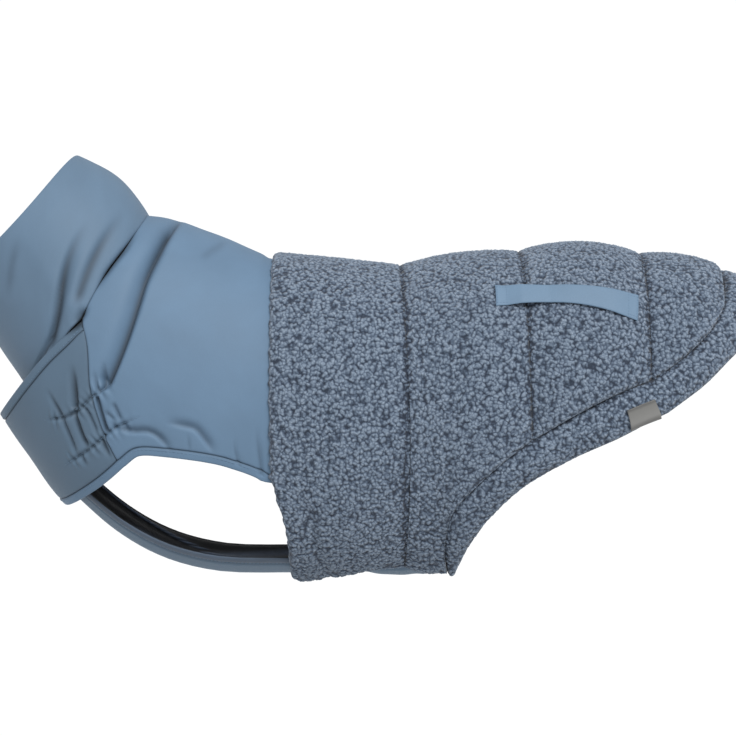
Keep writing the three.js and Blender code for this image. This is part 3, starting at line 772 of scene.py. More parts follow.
# %% [markdown]
# ## Sherpa fleece
# Sherpa is a knit whose pile is rolled into small curls, 3 to 4 mm across, light on their crowns and dark
# in the gaps. Hair would be too heavy here and would not export, so the curls are real bumps of the mesh.
# The colour follows the same curls, from where each point lay before it was moved, with painted shade in
# the gaps and painted light on the crowns, and a fine bump adds the fibres.

# %% The curl pattern, built alike in a finish and in Geometry Nodes
CURL, CURL_DEPTH = 0.0027, 0.0017
SEED = 4.0


def curl_pattern(tree, place, size):
    """Height of the rolled pile at a place: 0 in the gaps, 1 on the crowns."""
    close = math_node(tree, "DIVIDE", 1.0, size)
    drift = add(tree, "ShaderNodeTexNoise", {
        "Vector": place, "Detail": 1.0, "W": SEED, "Scale": math_node(tree, "MULTIPLY", close, 0.6),
    }, noise_dimensions="4D").outputs["Color"]
    centred = add(tree, "ShaderNodeVectorMath", {0: drift, 1: (0.5, 0.5, 0.5)}, operation="SUBTRACT")
    bent = scaled_by(tree, centred.outputs[0], math_node(tree, "MULTIPLY", size, 1.5))
    bent = add(tree, "ShaderNodeVectorMath", {0: place, 1: bent}, operation="ADD").outputs[0]
    cells = add(tree, "ShaderNodeTexVoronoi", {"Vector": bent, "Scale": close, "Randomness": 0.9})
    crown = add(tree, "ShaderNodeMapRange", {
        "Value": cells.outputs["Distance"], "From Min": 0.90, "From Max": 0.16,
    }, interpolation_type="SMOOTHSTEP").outputs[0]
    finer = math_node(tree, "MULTIPLY", close, 2.1)
    tufts = add(tree, "ShaderNodeTexVoronoi", {"Vector": bent, "Scale": finer})
    tufts = math_node(tree, "MULTIPLY", tufts.outputs["Distance"], -0.5)
    return math_node(tree, "MULTIPLY", math_node(tree, "ADD", tufts, 1.0), crown)


print("curl size: %.1f mm" % (CURL / MM))

# %% Sherpa's finish
sherpa, tree, shader = material("sherpa")
place = add(tree, "ShaderNodeAttribute", attribute_name="laid").outputs["Vector"]
crown = curl_pattern(tree, place, CURL)
shade = use(tree, mottling, {"Place": place, "Size": 0.012, "Grain": 0.0006})
fibres = math_node(tree, "MULTIPLY", math_node(tree, "SUBTRACT", shade["Fuzz"], 0.5), 0.38)
patches = math_node(tree, "MULTIPLY", math_node(tree, "SUBTRACT", shade["Patches"], 0.5), 0.16)
mask = math_node(tree, "ADD", math_node(tree, "ADD", crown, fibres), patches)
# Painted shade along the quilt grooves and the rear band's seam
quilted = add(tree, "ShaderNodeAttribute", attribute_name="hollow").outputs["Fac"]
mask = math_node(tree, "SUBTRACT", mask, math_node(tree, "MULTIPLY", quilted, 0.6))
# Painted shade in the gaps between curls and painted light on their crowns, with fibres and patches as real
# tone
paint(tree, shader, mask, [
    (0.00, (0.022, 0.033, 0.056)),
    (0.22, (0.078, 0.110, 0.163)),
    (0.55, (0.178, 0.231, 0.308)),
    (0.95, (0.325, 0.398, 0.495)),
])
relief(tree, shader, [(shade["Fuzz"], 0.0003), (crown, 0.0007)])
shader.inputs["Roughness"].default_value = 0.95
sheen(shader, 0.30, 0.5)
finish["sherpa"] = sherpa
print("sherpa nodes:", len(tree.nodes))

# %% [markdown]
# ## The curl maker
# Geometry Nodes roll the pile. A cell pattern splits the surface into curls, noise bends the cells so that
# they wander like real ones, and each point moves out by its height in its cell. The place before the move
# is stored, so that the finish can draw the same curls at any size. The seed is fixed, so the pile is
# always the same.

# %% Curl maker tree
curls, given, result = group(
    "Roll the pile",
    [("Geometry", "Geometry"), ("Float", "Curl Size", CURL), ("Float", "Curl Depth", CURL_DEPTH),
     ("Material", "Pile")],
    [("Geometry", "Geometry")],
    "Geometry",
)
laid = add(curls, "GeometryNodeInputPosition").outputs[0]
crown = curl_pattern(curls, laid, given["Curl Size"])
pile = add(curls, "GeometryNodeInputNamedAttribute", {"Name": "pile"}, data_type="FLOAT").outputs["Attribute"]
outward = add(curls, "GeometryNodeInputNamedAttribute", {"Name": "outward"}, data_type="FLOAT_VECTOR")
rise = math_node(curls, "MULTIPLY", math_node(curls, "SUBTRACT", crown, 0.5), pile)
rise = math_node(curls, "MULTIPLY", rise, given["Curl Depth"])
lifted = scaled_by(curls, outward.outputs["Attribute"], rise)
store = add(curls, "GeometryNodeStoreNamedAttribute", {"Geometry": given["Geometry"], "Name": "laid"},
            data_type="FLOAT_VECTOR", domain="POINT")
curls.links.new(laid, store.inputs["Value"])
move = add(curls, "GeometryNodeSetPosition", {"Geometry": store.outputs[0], "Offset": lifted})
realized = add(curls, "GeometryNodeRealizeInstances", {0: move.outputs[0]})
outside = add(curls, "FunctionNodeCompare", {0: pile, 1: 0.5}, data_type="FLOAT", operation="GREATER_THAN")
dressed = add(curls, "GeometryNodeSetMaterial", {
    "Geometry": realized.outputs[0], "Selection": outside.outputs[0], "Material": given["Pile"],
})
curls.links.new(dressed.outputs[0], result["Geometry"])


def apply_tree(piece, tree, values):
    """Runs a Geometry Nodes tree on a piece and keeps what it makes as a plain mesh."""
    modifier = piece.modifiers.new(tree.name, "NODES")
    modifier.node_group = tree
    for item in tree.interface.items_tree:
        if item.item_type == "SOCKET" and item.in_out == "INPUT" and item.name in values:
            modifier[item.identifier] = values[item.name]
    bpy.context.view_layer.update()
    made = bpy.data.meshes.new_from_object(piece.evaluated_get(bpy.context.evaluated_depsgraph_get()))
    made.name = piece.name
    piece.modifiers.clear()
    piece.data = made


print("curl maker nodes:", len(curls.nodes))

# %% [markdown]
# ## The yoke
# The yoke is one smooth panel over the withers and shoulders. Its front edge is the collar seam and then
# the chest band's seam, its rear edge lies under the fleece, and its lower edge runs over the leg openings.

# %% Yoke
SOFTSHELL, HEM_EXTRA = 1.8, 0.7


def softshell_panel(name, node, places, creases, sides, shell="softshell", wave=0.0, extra=0.0):
    """A creased panel with its lining, hung on the coat. extra is the thickness that a folded hem adds."""
    points = tube(places)
    lift, hollow = folds(points, creases)
    under = lift + sway(points, wave) - extra / 2
    # The creases' hollow is painted into the colour as shade
    piece = cloth(name, points, normals(tube, places), under, SOFTSHELL + extra, sides,
                  [finish[shell], finish["lining"]], hollow=hollow)
    wear(piece, node)
    return piece


front_line = seam(neck_seam, band_seam)
fleece_start = seam(fleece_front)
back_line = straight(neck_line([0.0])[0], fleece_start([0.0])[0])
down, across = steps(118, 1.2), steps(190, 1.2, start=False)
places = both_flanks(patch(front_line, fleece_start, back_line, arm_line, down, across), 0)
yoke = softshell_panel("yoke_cloth", "yoke", places, BODY_PULLS, ("seam", "open", "seam", "seam"), wave=0.22)

# %% [markdown]
# ## Chest band and its hems
# The band wraps the breast under the collar and is gathered at both sides by two rows of elastic. Its neck
# edge is folded over and stitched down, and so is the whole edge round the leg openings and along the bib.
# A fold has twice the cloth, so the hems are a little thicker and their free edges are round.

# %% Chest band, neck hem and leg opening hems
NECK_HEM, ARM_HEM = 7.0, 7.0


def band_side(shares):
    return band_line((1 + 7 * np.asarray(shares)) / 8)


def hem_line(shares):
    shares = np.asarray(shares, float)
    places = to_centre(aside(collar_edge, NECK_HEM))(shares)
    join = np.clip(shares * 15, 0, 1)[:, None]
    return band_side([0.0]) + (places - band_side([0.0])) * join


down, across = steps(66, 0.95), steps(118, 0.95, end=False)
centre_line = straight(hem_line([0.0, 1.0])[1], bib_line([0.0, 1.0])[1])
places = both_flanks(patch(hem_line, bib_line, band_side, centre_line, down, across), 360)
chest_band = softshell_panel("chest_band_cloth", "chest_band", places, BODY_PULLS, ("seam",) * 4,
                             "chest softshell in painted shade", wave=0.3)


def strip(first, last, width, length):
    """A narrow patch between two lines, as places."""
    down, across = steps(width, 1.0), steps(length, 1.4)
    return between(first(across), last(across), down)


places = both_flanks(strip(collar_edge, hem_line, NECK_HEM, 112), 360)
neck_hem = softshell_panel("neck_hem_cloth", "neck_hem", places, HEM_CREASES,
                           ("fold", "seam", "seam", "seam"), "chest softshell in painted shade", extra=HEM_EXTRA)

# %% Leg opening hems
LEG_TOP = 0.44  # share of the opening's edge that lies under the yoke


def leg_edge(shares):
    """From the fleece along the top of the leg opening, then along the bib to the centre front."""
    shares = np.asarray(shares, float)
    top = arm_line(1 - np.minimum(shares / LEG_TOP, 1))
    bib = bib_line(np.clip((shares - LEG_TOP) / (1 - LEG_TOP), 0, 1))
    return np.where((shares < LEG_TOP)[:, None], top, bib)


def leg_hem(shares):
    """The hem's stitched edge, which starts square to the fleece."""
    places = to_centre(aside(leg_edge, ARM_HEM))(shares)
    start, corner = np.clip(np.asarray(shares) * 40, 0, 1), arm_line([1.0])[0, 0]
    places[:, 0] = corner + (places[:, 0] - corner) * start
    return places


near_hem = strip(leg_edge, leg_hem, ARM_HEM, 250)
leg_hems = [
    softshell_panel(f"leg_hem_{side}", f"armhole_hem_{side}", places, BODY_PULLS,
                    ("seam", "fold", "seam", "seam"), wave=0.25, extra=HEM_EXTRA)
    for side, places in (("near", near_hem), ("far", mirrored(near_hem)))
]

# %% [markdown]
# ## The collar
# The collar is a tall soft tube. Its foot is sewn to the yoke over the back and slips inside the chest band
# at the throat. Its rim leans forward. It is built from rings between foot and rim, and swells a little
# between them.

# %% Collar
RIM = {"top": (-153, 79), "low": (-246, -18), "half": 62, "dip": 8}
COLLAR_BELLY = 8.0
NECK_AXIS = np.array([(-150.0, 0.0, -35.0), (-199.5, 0.0, 30.5)])  # the neck's middle, at foot and rim
# The foot turns out to the band over this share of the height, from this angle on and this much further
TURN_HEIGHT, TURN_FROM, TURN_OVER = 0.16, 92, 34
SEWN_BEHIND, SEWN_UNDER = 14.0, 3.0  # where it is sewn, behind the band's edge and inside it
RING = 248  # points round the collar
# Columns: angle, how far inside the neck edge the foot lies, and how far behind it
FOOT = np.array([
    (0, 0, 0), (84, 0, 0), (92, 3, -0.8), (102, 7, 3), (125, 16, 8), (155, 27, 10), (180, 30, 10),
], float)
edge_shares = np.linspace(0, 1, 60)
foot_edge = np.vstack([neck_line(edge_shares), collar_edge(edge_shares)[1:]])
foot_edge = foot_edge[np.argsort(foot_edge[:, 1])]


def collar(places):
    """Points of the collar. A place is a share of the way from foot to rim, and an angle. At the throat the
    foot turns out to the chest band, which it is sewn to."""
    share, angle = places[..., 0], places[..., 1]
    side = np.abs((angle + 180) % 360 - 180)
    start = np.stack([np.interp(side, foot_edge[:, 1], foot_edge[:, 0]) + column(FOOT, 2, side), angle], -1)
    inset = np.maximum(0, column(FOOT, 1, side))
    foot = tube(start) - normals(tube, start) * inset[..., None]
    turn = np.radians(angle)
    slant = ((1 - np.cos(turn)) / 2)[..., None]
    top, low = np.array(RIM["top"]), np.array(RIM["low"])
    lean = RIM["dip"] * np.sin(turn) ** 2 * 0.707
    line = top + (low - top) * slant
    rim = np.stack([line[..., 0] + lean, -RIM["half"] * np.sin(turn), line[..., 1] - lean], -1)
    points = foot + (rim - foot) * share[..., None]
    inside = NECK_AXIS[0] + (NECK_AXIS[1] - NECK_AXIS[0]) * share[..., None]
    away = points - inside
    away /= np.linalg.norm(away, axis=-1, keepdims=True)
    swell = COLLAR_BELLY * np.sin(np.pi * np.clip(share, 0, 1)) * np.cos(turn / 2) ** 2
    points = points + away * swell[..., None]
    turned = np.clip(1 - share / TURN_HEIGHT, 0, 1) * np.clip((side - TURN_FROM) / TURN_OVER, 0, 1)
    turned = ease(turned)[..., None]
    sewn = start + [SEWN_BEHIND, 0.0]
    return points * (1 - turned) + (tube(sewn) - normals(tube, sewn) * SEWN_UNDER) * turned


angles = np.linspace(0, 360, RING, endpoint=False)
places = np.stack(np.meshgrid(steps(112, 1.7), angles, indexing="ij"), -1)
share = places[..., 0]
points = collar(places)
within = np.stack([np.clip(share, 0.02, 0.98), places[..., 1]], -1)
out = -normals(collar, within, (0.02, 1.0))
fade = np.clip(4 * share, 0, 1) * np.clip(5 * (1 - share), 0, 1)
(lift, hollow), (pinch, core) = folds(points, COLLAR_CREASES[:5]), folds(points, COLLAR_CREASES[5:])
under = lift * fade + pinch + sway(points, 0.4) * fade
# The folds' hollow and the pinches' core are painted into the colour as shade
collar_piece = cloth("collar_cloth", points, out, under, SOFTSHELL, ("seam", "fold", "open", "open"),
                     [finish["collar softshell in painted shade"], finish["lining"]], ring=True,
                     hollow=np.maximum(hollow, core))
wear(collar_piece, "collar")

# %% [markdown]
# ## The strap
# A strap runs from inside the bib, between the forelegs, and on under the belly. Outside it is softshell
# with a folded hem along each side, painted darker as shade, and inside it is a black lining that puckers
# into long soft folds, painted lighter along a ridge and a band as highlight.

# %% Strap and its lining
STRAP_NEAR, STRAP_FAR = 31.8, 27.4  # half its width in degrees, on each side
STRAP_START, STRAP_END = 30.0, 398.0
LINING = 0.9
LINING_WIDTH = 1 - 2.6 / 43  # the lining ends this share of the way from the middle to the strap's edge
# Columns: station, how far inside the tube the strap lies
STRAP_FIT = np.array([(30, 0.34), (41, 4), (54, 9), (72, 5), (92, 1.7), (108, 1.7), (398, 1.7)], float)
down, across = steps(350, 2.6), steps(86, 1.2)
half = np.where(across < 0.5, STRAP_NEAR, STRAP_FAR)
stations = STRAP_START + (STRAP_END - STRAP_START) * down
places = np.stack(np.meshgrid(stations, 180 + half * (2 * across - 1), indexing="ij"), -1)
points = tube(places)
inset = np.maximum(0.34, column(STRAP_FIT, 1, places[..., 0]))
edge = np.minimum(*runs(points, 1))
HEM_MIDDLE, HEM_STITCH = 4.0, 8.6  # how far in from the edge its hem stands up, and is stitched down
hem_groove = -0.9 * bell(edge - HEM_STITCH, 1.2) + 0.5 * bell(edge - HEM_MIDDLE, 2.2)
long_folds = 0.55 * np.sin(edge / 4.1 + np.sin(places[..., 0] / 31)) * np.clip((edge - 9) / 6, 0, 1)
# Behind the fleece's lower edge the strap hangs down a little, and a strip of it shows.
hang = 2.6 * bell(points[..., 0] - 97, 17, 4) + 1.6 * bell(points[..., 0] - 63, 11, 4)
sunk = hang * ease(np.clip((edge - 13) / 9, 0, 1)) - SOFTSHELL - inset
# The hem band takes the darker hem finish as painted shade, and hollow paints a thin shade line along its
# stitching
strap = cloth("strap_cloth", points, normals(tube, places), sunk, SOFTSHELL + hem_groove + long_folds * 0.4,
              ("seam", "seam", "fold", "fold"),
              [finish["chest softshell in painted shade"], finish["lining"], finish["strap hem in painted shade"]],
              trim=8.0, hollow=0.5 * bell(edge - 8.8, 1.1))
wear(strap, "belly_panel")

# %% Strap lining
# A ridge where the lining is folded over itself, painted lighter along its crest as a highlight: station and
# angle
LINING_RIDGE = [(34, 204.4), (66, 204.6), (71, 204.4), (78, 203.6), (84.5, 202), (90, 199.5), (93.5, 197),
                (96, 192.5), (98, 184)]
# A softer band of painted highlight below it, towards the near side, which leaves the cloth where it is
LINING_HIGHLIGHT = [(60, 186), (75, 190.5), (84, 189.5), (92, 190), (96, 194), (101, 197.5), (108, 199.5),
                (140, 201)]
ACROSS = 1.55  # millimetres to a degree across the strap
places[..., 1] = 180 + (places[..., 1] - 180) * LINING_WIDTH
points = tube(places)
stations = places[..., 0]
puckers = long_folds + 0.35 * np.sin(stations / 9 + edge / 5) * np.clip(edge / 8, 0, 1)


def off_line(rows):
    """How far each place of the lining lies from one of its lines, across the strap."""
    line = smooth_run(rows, np.linspace(0, 1, 60))
    return (places[..., 1] - np.interp(stations, line[:, 0], line[:, 1], left=230)) * ACROSS


off_ridge = off_line(LINING_RIDGE)
crest = bell(off_ridge, 0.9) * (stations < 99)
swell = bell(off_line(LINING_HIGHLIGHT), 4.6) * np.clip((stations - 70) / 8, 0, 1)
swell = swell * np.clip((150 - stations) / 20, 0, 1) * np.clip(np.abs(off_ridge) / 3, 0, 1)
under = sunk - LINING - 0.4 * np.clip(edge / 3, 0, 1) + np.minimum(puckers, 0) - 1.1 * crest
# Painted highlight: the crest and the band below it lighten the lining's colour through a hollow below zero
lining = cloth("strap_lining", points, normals(tube, places), under, LINING, ("seam", "seam", "fold", "fold"),
               [finish["lining"]], hollow=-6.0 * crest - 3.2 * swell)
wear(lining, "belly_lining")

# %% [markdown]
# ## The quilted fleece back
# Fleece, padding and backing are sewn together along three quilt lines, and the padding stands up between
# them. Each stretch between quilt lines is a piece of its own here. The curls need a mesh finer than a
# millimetre, and this keeps every piece light enough. The inside stays coarse, because it is plain.

# %% Fleece stretches
QUILT = 3.6
FLANK = 0.82  # mesh cell of the fleece
OVERLAP = 1.2  # how far the pile of the front edge hangs over the yoke
# Columns: ends on the top line, rise of the padding, lower edge, how far the columns bow forward at each end
STRETCHES = [
    (4, 103, 8.8, fleece_low, 0, -5),
    (103, 137, 8.6, belly_end, -5, 16),
    (137, 198, 8.6, rump_seam_low, 16, 0),
    (198, 293, 10.4, rump_seam_mid, 0, 0),
    (293, 356, 9.2, rump_seam_high, 0, 0),
]


def top_station(x):
    """The station whose point on the top line lies at x."""
    stations = np.arange(0, 519, 0.5)
    return np.interp(x, column(SECTIONS, 1, stations), stations)


def whole(count, coarse):
    """The nearest count of cells that the coarse inside divides evenly."""
    return max(coarse, round(count / coarse) * coarse)


def stretch_places(row, shares, drop):
    """Places of one stretch: a column at each share along it, from the top line down to the lower edge."""
    start, stop, _, low, bow, last_bow = row
    feet = seam(low)(shares)
    top_at = top_station(start + (stop - start) * shares)
    top = section(top_at)[0]
    end = tube(feet)[:, (0, 2)]
    turn = drop[None] * feet[:, 1:]
    share = (1 - np.cos(np.radians(turn))) / (1 - np.cos(np.radians(feet[:, 1:])))
    forward = 4 * (bow + (last_bow - bow) * shares)[:, None] * share * (1 - share)
    line = top[:, None] + (end - top)[:, None] * share[..., None]
    line[..., 0] -= forward
    places = locate(line)
    places[:, 0] = np.stack([top_at, np.zeros_like(top_at)], -1)
    places[:, -1] = feet
    return places


def front_column(drop):
    """The fleece's front edge, over the yoke and then behind the leg opening."""
    over, behind = seam(fleece_front)(np.linspace(0, 1, 80)), seam(fleece_front_low)(np.linspace(0, 1, 40))
    fine = np.vstack([over, behind[1:]])
    return spread(fine, lengths(tube(fine)), drop)


print("stretches:", len(STRETCHES))


# %% Padding between the quilt lines
def padding(points, quilt_ahead, quilt_behind, rise):
    """Outer rise of the padding: low at the quilt lines, full between them."""
    ahead, behind = quilt_ahead(points[..., 2]), quilt_behind(points[..., 2])
    share = np.clip((points[..., 0] - ahead) / (behind - ahead), 0, 1)
    return QUILT + (rise - QUILT) * np.sin(np.pi * share) ** 0.55


def by_quilt(points, *lines):
    """How deep in the groove of a quilt line each point lies, which is painted into the pile as shade."""
    off = np.min([np.abs(points[..., 0] - line(points[..., 2])) for line in lines], 0)
    return 0.6 * bell(off, 2.2)


# Quilt lines in the side view: z and x
QUILT_LINES = [
    [(-250, -20), (40, -26)],
    [(-247, 107), (-164, 106), (-102, 108), (-51, 107), (-22, 106), (10, 103)],
    [(-137, 203), (-103, 201), (-43, 201), (-29, 200), (10, 198)],
    [(-93, 294), (-51, 293), (-29, 294), (10, 293)],
    [(-40, 367), (10, 370)],
]


def quilt_at(k):
    """A quilt line, as its x at each height."""
    z, x = np.array(QUILT_LINES[k], float).T
    return lambda height: np.interp(height, z, x)


QUILTED = {"fleece_front": (0, 1), "fleece_middle": (1, 2), "fleece_rear": (2, 3), "fleece_tail": (3, 4)}


def fleece_stretch(name, rows, width, height, coarse=5):
    """One quilted stretch of the back, both flanks, before its pile is rolled."""
    drop = np.linspace(0, 1, whole(height / FLANK, coarse) + 1)
    cells = whole(width / FLANK, coarse)
    sizes = [STRETCHES[k][1] - STRETCHES[k][0] for k in rows]
    grid = []
    for k, size in zip(rows, sizes):
        own = cells if len(rows) == 1 else whole(cells * size / sum(sizes), coarse)
        shares = np.linspace(0, 1, own + 1)[1 if grid else 0:]
        grid.append(stretch_places(STRETCHES[k], shares, drop))
    places = np.concatenate(grid)
    if rows[0] == 0:
        near_front = np.clip(1 - np.linspace(0, 1, len(places)) * 4, 0, 1)[:, None, None] ** 2
        run = drop * height
        ragged = 0.5 * np.sin(run / 2.1 + 2 * np.sin(run / 9)) + 0.3 * np.sin(run / 1.1 + np.sin(run / 5))
        front = front_column(drop) - np.stack([OVERLAP + ragged, 0 * run], -1)
        places = places + (front - places[0])[None] * near_front
    places = both_flanks(places, 0)
    points = tube(places)
    lines = [quilt_at(k) for k in QUILTED[name]]
    return places, points, padding(points, *lines, STRETCHES[rows[0]][2]), by_quilt(points, *lines)


print("quilt lines:", len(QUILT_LINES))


# %% Fleece back
def fleece_piece(name, node, places, under, thick, sides, coarse, hollow):
    """A padded piece of fleece with its pile rolled, hung on the coat."""
    piece = cloth(name, tube(places), normals(tube, places), under, thick, sides,
                  [finish["sherpa"], finish["lining"]], coarse=coarse, hollow=hollow)
    apply_tree(piece, curls, {"Curl Size": CURL, "Curl Depth": CURL_DEPTH, "Pile": finish["sherpa"]})
    wear(piece, node)
    print(name, "triangles:", triangles(piece))
    return piece


FLEECE = [
    ("fleece_front", (0,), 103, 275, ("pile", "open", "pile", "pile")),
    ("fleece_middle", (1, 2), 96, 262, ("open", "open", "pile", "pile")),
    ("fleece_rear", (3,), 96, 150, ("open", "open", "pile", "pile")),
    ("fleece_tail", (4,), 68, 100, ("open", "pile", "pile", "pile")),
]
LEG_TROUGH = [
    ("leg side trough", [(27, -165), (31, -185), (36, -206), (43, -231), (50, -252)],
     1.8, 4.5, 4.5, 0.3, 0.1),
]
LIFT_OVER_YOKE = 2.0
for name, rows, width, height, sides in FLEECE:
    places, points, thick, hollow = fleece_stretch(name, rows, width, height)
    thick = thick + folds(points, LEG_TROUGH)[0]
    at_front = (runs(points, 0)[0] < OVERLAP + 0.2) & (points[..., 2] > ARM_END[1])
    on_yoke = LIFT_OVER_YOKE * (rows[0] == 0) * at_front
    piece = fleece_piece(name, "fleece_back", places, on_yoke, thick - on_yoke, sides, 5, hollow)

# %% [markdown]
# ## The fleece band along the rear edge
# A band of the same fleece is turned over the rear edge, from the belly round the tail end. It is full and
# round across its width, with the pile closing over its seam.

# %% Rear band
HEM_BAND = 7.4
rump_inner = seam(rump_seam_low, rump_seam_mid, rump_seam_high)
rump_outer = seam(rump_edge_low, rump_edge_mid, rump_edge_high)


def with_tail(line, end_at, share=0.86):
    """Carries an edge on round the tail end to the top line."""
    tail = straight(line([1.0])[0], (end_at, 0.0))

    def at(shares):
        shares = np.asarray(shares, float)
        rest = np.clip((shares - share) / (1 - share), 0, 1)
        return np.where((shares < share)[:, None], line(np.minimum(shares / share, 1)), tail(rest))
    return at


inner_edge = with_tail(rump_inner, top_station(356.0))
outer_edge = with_tail(rump_outer, 511.0)
coarse = 4
across = np.linspace(0, 1, whole(345 / FLANK, coarse) + 1)
down = np.linspace(-0.03, 1, whole(27 / FLANK, coarse) + 1)
places = between(inner_edge(across), outer_edge(across), down)
places = np.concatenate([mirrored(places, 0)[:, :-1], places[:, ::-1]], 1)
v, v_left = runs(tube(places), 0)
thick = 1.8 + (HEM_BAND - 0.8) * np.sin(np.pi * np.clip(v / (v + v_left), 0, 1)) ** 0.5
# The band's pile is painted darker along its seam, as shade
band = fleece_piece("fleece_rear_band", "fleece_hem", places, 0.0, thick, ("open", "fold", "open", "open"),
                    coarse, 0.6 * bell(v, 2.4))

# %% [markdown]
# ## Handle tape and label
# The tape is a flat woven strip on the near flank, sewn down at both ends and free between them, so its
# middle stands a little off the pile. The label is a scrap of grey satin folded over the rear band, left
# bare here.

# %% Tape and label
TAPE, LABEL = 1.2, 0.9
# The tape's underside: its least height over the tube at its ends, how much more in its middle, and its slack
TAPE_LOW, TAPE_ARCH, TAPE_SLACK = 6.2, 2.2, 1.2
tape_top = [(176, -25.8), (216, -26.3), (262, -28.8), (285, -32)]
tape_low = [(176, -39.8), (216, -38), (253, -42), (283, -50)]


def fleece_height(points):
    """Rise of the fleece under a point of its upper flank."""
    x, z = points[..., 0], points[..., 2]
    rise = padding(points, quilt_at(1), quilt_at(2), STRETCHES[1][2])
    return np.where(x > quilt_at(2)(z), padding(points, quilt_at(2), quilt_at(3), STRETCHES[3][2]), rise)


def tape_rise(points, ends):
    """Height of the tape's underside at points, from their distance to its nearer end."""
    smooth_height = np.maximum(fleece_height(points), TAPE_LOW + TAPE_ARCH * np.clip(ends / 20, 0, 1))
    return smooth_height + 0.2 + TAPE_SLACK * np.clip((ends - 5) / 14, 0, 1)


down, across = steps(14, 1.2), steps(110, 1.2)
places = between(seam(tape_low)(across), seam(tape_top)(across), down)
points = tube(places)
rise = tape_rise(points, np.minimum(*runs(points, 1)))
tape = cloth("handle_tape", points, normals(tube, places), rise, TAPE, ("fold",) * 4, [finish["tape"]])
wear(tape, "tape_band")

label_corners = locate([(273.5, -114), (294.5, -106), (301, -121), (277.5, -130)])
down, across = steps(17, 1.0), steps(22, 1.0)
first = straight(label_corners[0], label_corners[1])(across)
last = straight(label_corners[3], label_corners[2])(across)
places = between(first, last, down)
points = tube(places)
rest = HEM_BAND + 1.5 - 3.5 * np.clip(1 - runs(points, 0)[1] / 6, 0, 1) ** 2
label = cloth("label_satin", points, normals(tube, places), rest, LABEL, ("fold",) * 4, [finish["label"]])
wear(label, "label")

# %% [markdown]
# ## Stitches
# Every hem is topstitched with thread in the cloth's own colour. Geometry Nodes lay one small bead of
# thread at each step along a path and turn it along the path. The pitch and the thread's size are named
# inputs.

# %% Stitch tree
stitching, given, result = group(
    "Stitch a path",
    [("Geometry", "Geometry"), ("Float", "Pitch", 0.003), ("Float", "Stitch Length", 0.0022),
     ("Float", "Thread", 0.0005), ("Material", "Thread Finish")],
    [("Geometry", "Geometry")],
    "Geometry",
)
path = add(stitching, "GeometryNodeMeshToCurve", {0: given["Geometry"]})
spaced = add(stitching, "GeometryNodeResampleCurve", {
    "Curve": path.outputs[0], "Length": given["Pitch"],
}, mode="LENGTH")
bead = add(stitching, "GeometryNodeMeshUVSphere", {"Segments": 6, "Rings": 4, "Radius": 0.5})
size = add(stitching, "ShaderNodeCombineXYZ", {
    "X": given["Stitch Length"], "Y": given["Thread"], "Z": given["Thread"],
})
drawn = add(stitching, "GeometryNodeTransform", {"Geometry": bead.outputs[0], "Scale": size.outputs[0]})
tangent = add(stitching, "GeometryNodeInputTangent")
aim = add(stitching, "FunctionNodeAlignRotationToVector", {"Vector": tangent.outputs[0]}, axis="X")
placed = add(stitching, "GeometryNodeInstanceOnPoints", {
    "Points": spaced.outputs[0], "Instance": drawn.outputs[0], "Rotation": aim.outputs[0],
})
solid = add(stitching, "GeometryNodeRealizeInstances", {0: placed.outputs[0]})
soft = add(stitching, "GeometryNodeSetShadeSmooth", {"Geometry": solid.outputs[0]})
threaded = add(stitching, "GeometryNodeSetMaterial", {
    "Geometry": soft.outputs[0], "Material": given["Thread Finish"],
})
stitching.links.new(threaded.outputs[0], result["Geometry"])


def stitch(name, node, lines, pitch=0.003, long=0.0022, thread=0.0005):
    """Stitches along lines of points in the tables' millimetres."""
    edges = []
    count = 0
    for line in lines:
        edges += [(count + k, count + k + 1) for k in range(len(line) - 1)]
        count += len(line)
    piece = new_piece(name, np.concatenate(lines), edges, [])
    apply_tree(piece, stitching, {
        "Pitch": pitch, "Stitch Length": long, "Thread": thread, "Thread Finish": finish["thread"],
    })
    spots = np.empty(len(piece.data.vertices) * 3, np.float32)
    piece.data.vertices.foreach_get("co", spots)
    lay_flat(piece.data, spots.reshape(-1, 3)[:, (0, 2)])
    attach(piece, "root")
    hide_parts(node)
    print(name, "faces:", len(piece.data.polygons))


def on_cloth(line, lift, creases=()):
    """Points of a line of places, on the outside face."""
    points = tube(line)
    rise = (folds(points, creases)[0] if creases else 0) + lift
    return points + normals(tube, line) * np.broadcast_to(rise, points.shape[:1])[:, None]


print("stitch tree nodes:", len(stitching.nodes))

# %% Topstitching
fine = np.linspace(0, 1, 260)
FACE = SOFTSHELL + HEM_EXTRA / 2  # the outside of a hem


def flanks(line, turn=360.0):
    """A line on the near flank and its mirror."""
    return [line, mirrored(line, turn)]


leg_stitch = [on_cloth(x, FACE + 0.05, BODY_PULLS) for x in flanks(aside(leg_edge, 1.9)(fine[2:-2]))]
stitch("leg_hem_stitches", "armhole_hem_near", leg_stitch)
neck_stitch = [on_cloth(x, FACE + 0.1) for x in flanks(aside(collar_edge, NECK_HEM - 1.7)(fine[14:-2]))]
stitch("neck_hem_stitches", "neck_hem", neck_stitch)
elastic = []
for _, line, *_ in GATHER_ROWS:
    row = locate(smooth_run(line, fine))
    elastic += [on_cloth(x, SOFTSHELL + 0.05, BODY_PULLS) for x in flanks(row)]
stitch("elastic_stitches", "chest_band", elastic, pitch=0.0034, long=0.0024)
strap_edge = 185 - STRAP_NEAR
strap_line = straight((STRAP_START + 30, strap_edge), (STRAP_END - 4, strap_edge))(np.linspace(0, 1, 400))
strap_inset = -np.maximum(0.34, column(STRAP_FIT, 1, strap_line[:, 0])) - 0.75
strap_lines = flanks(strap_line, 360 + STRAP_FAR - STRAP_NEAR)
stitch("strap_stitches", "belly_panel", [on_cloth(x, strap_inset) for x in strap_lines])

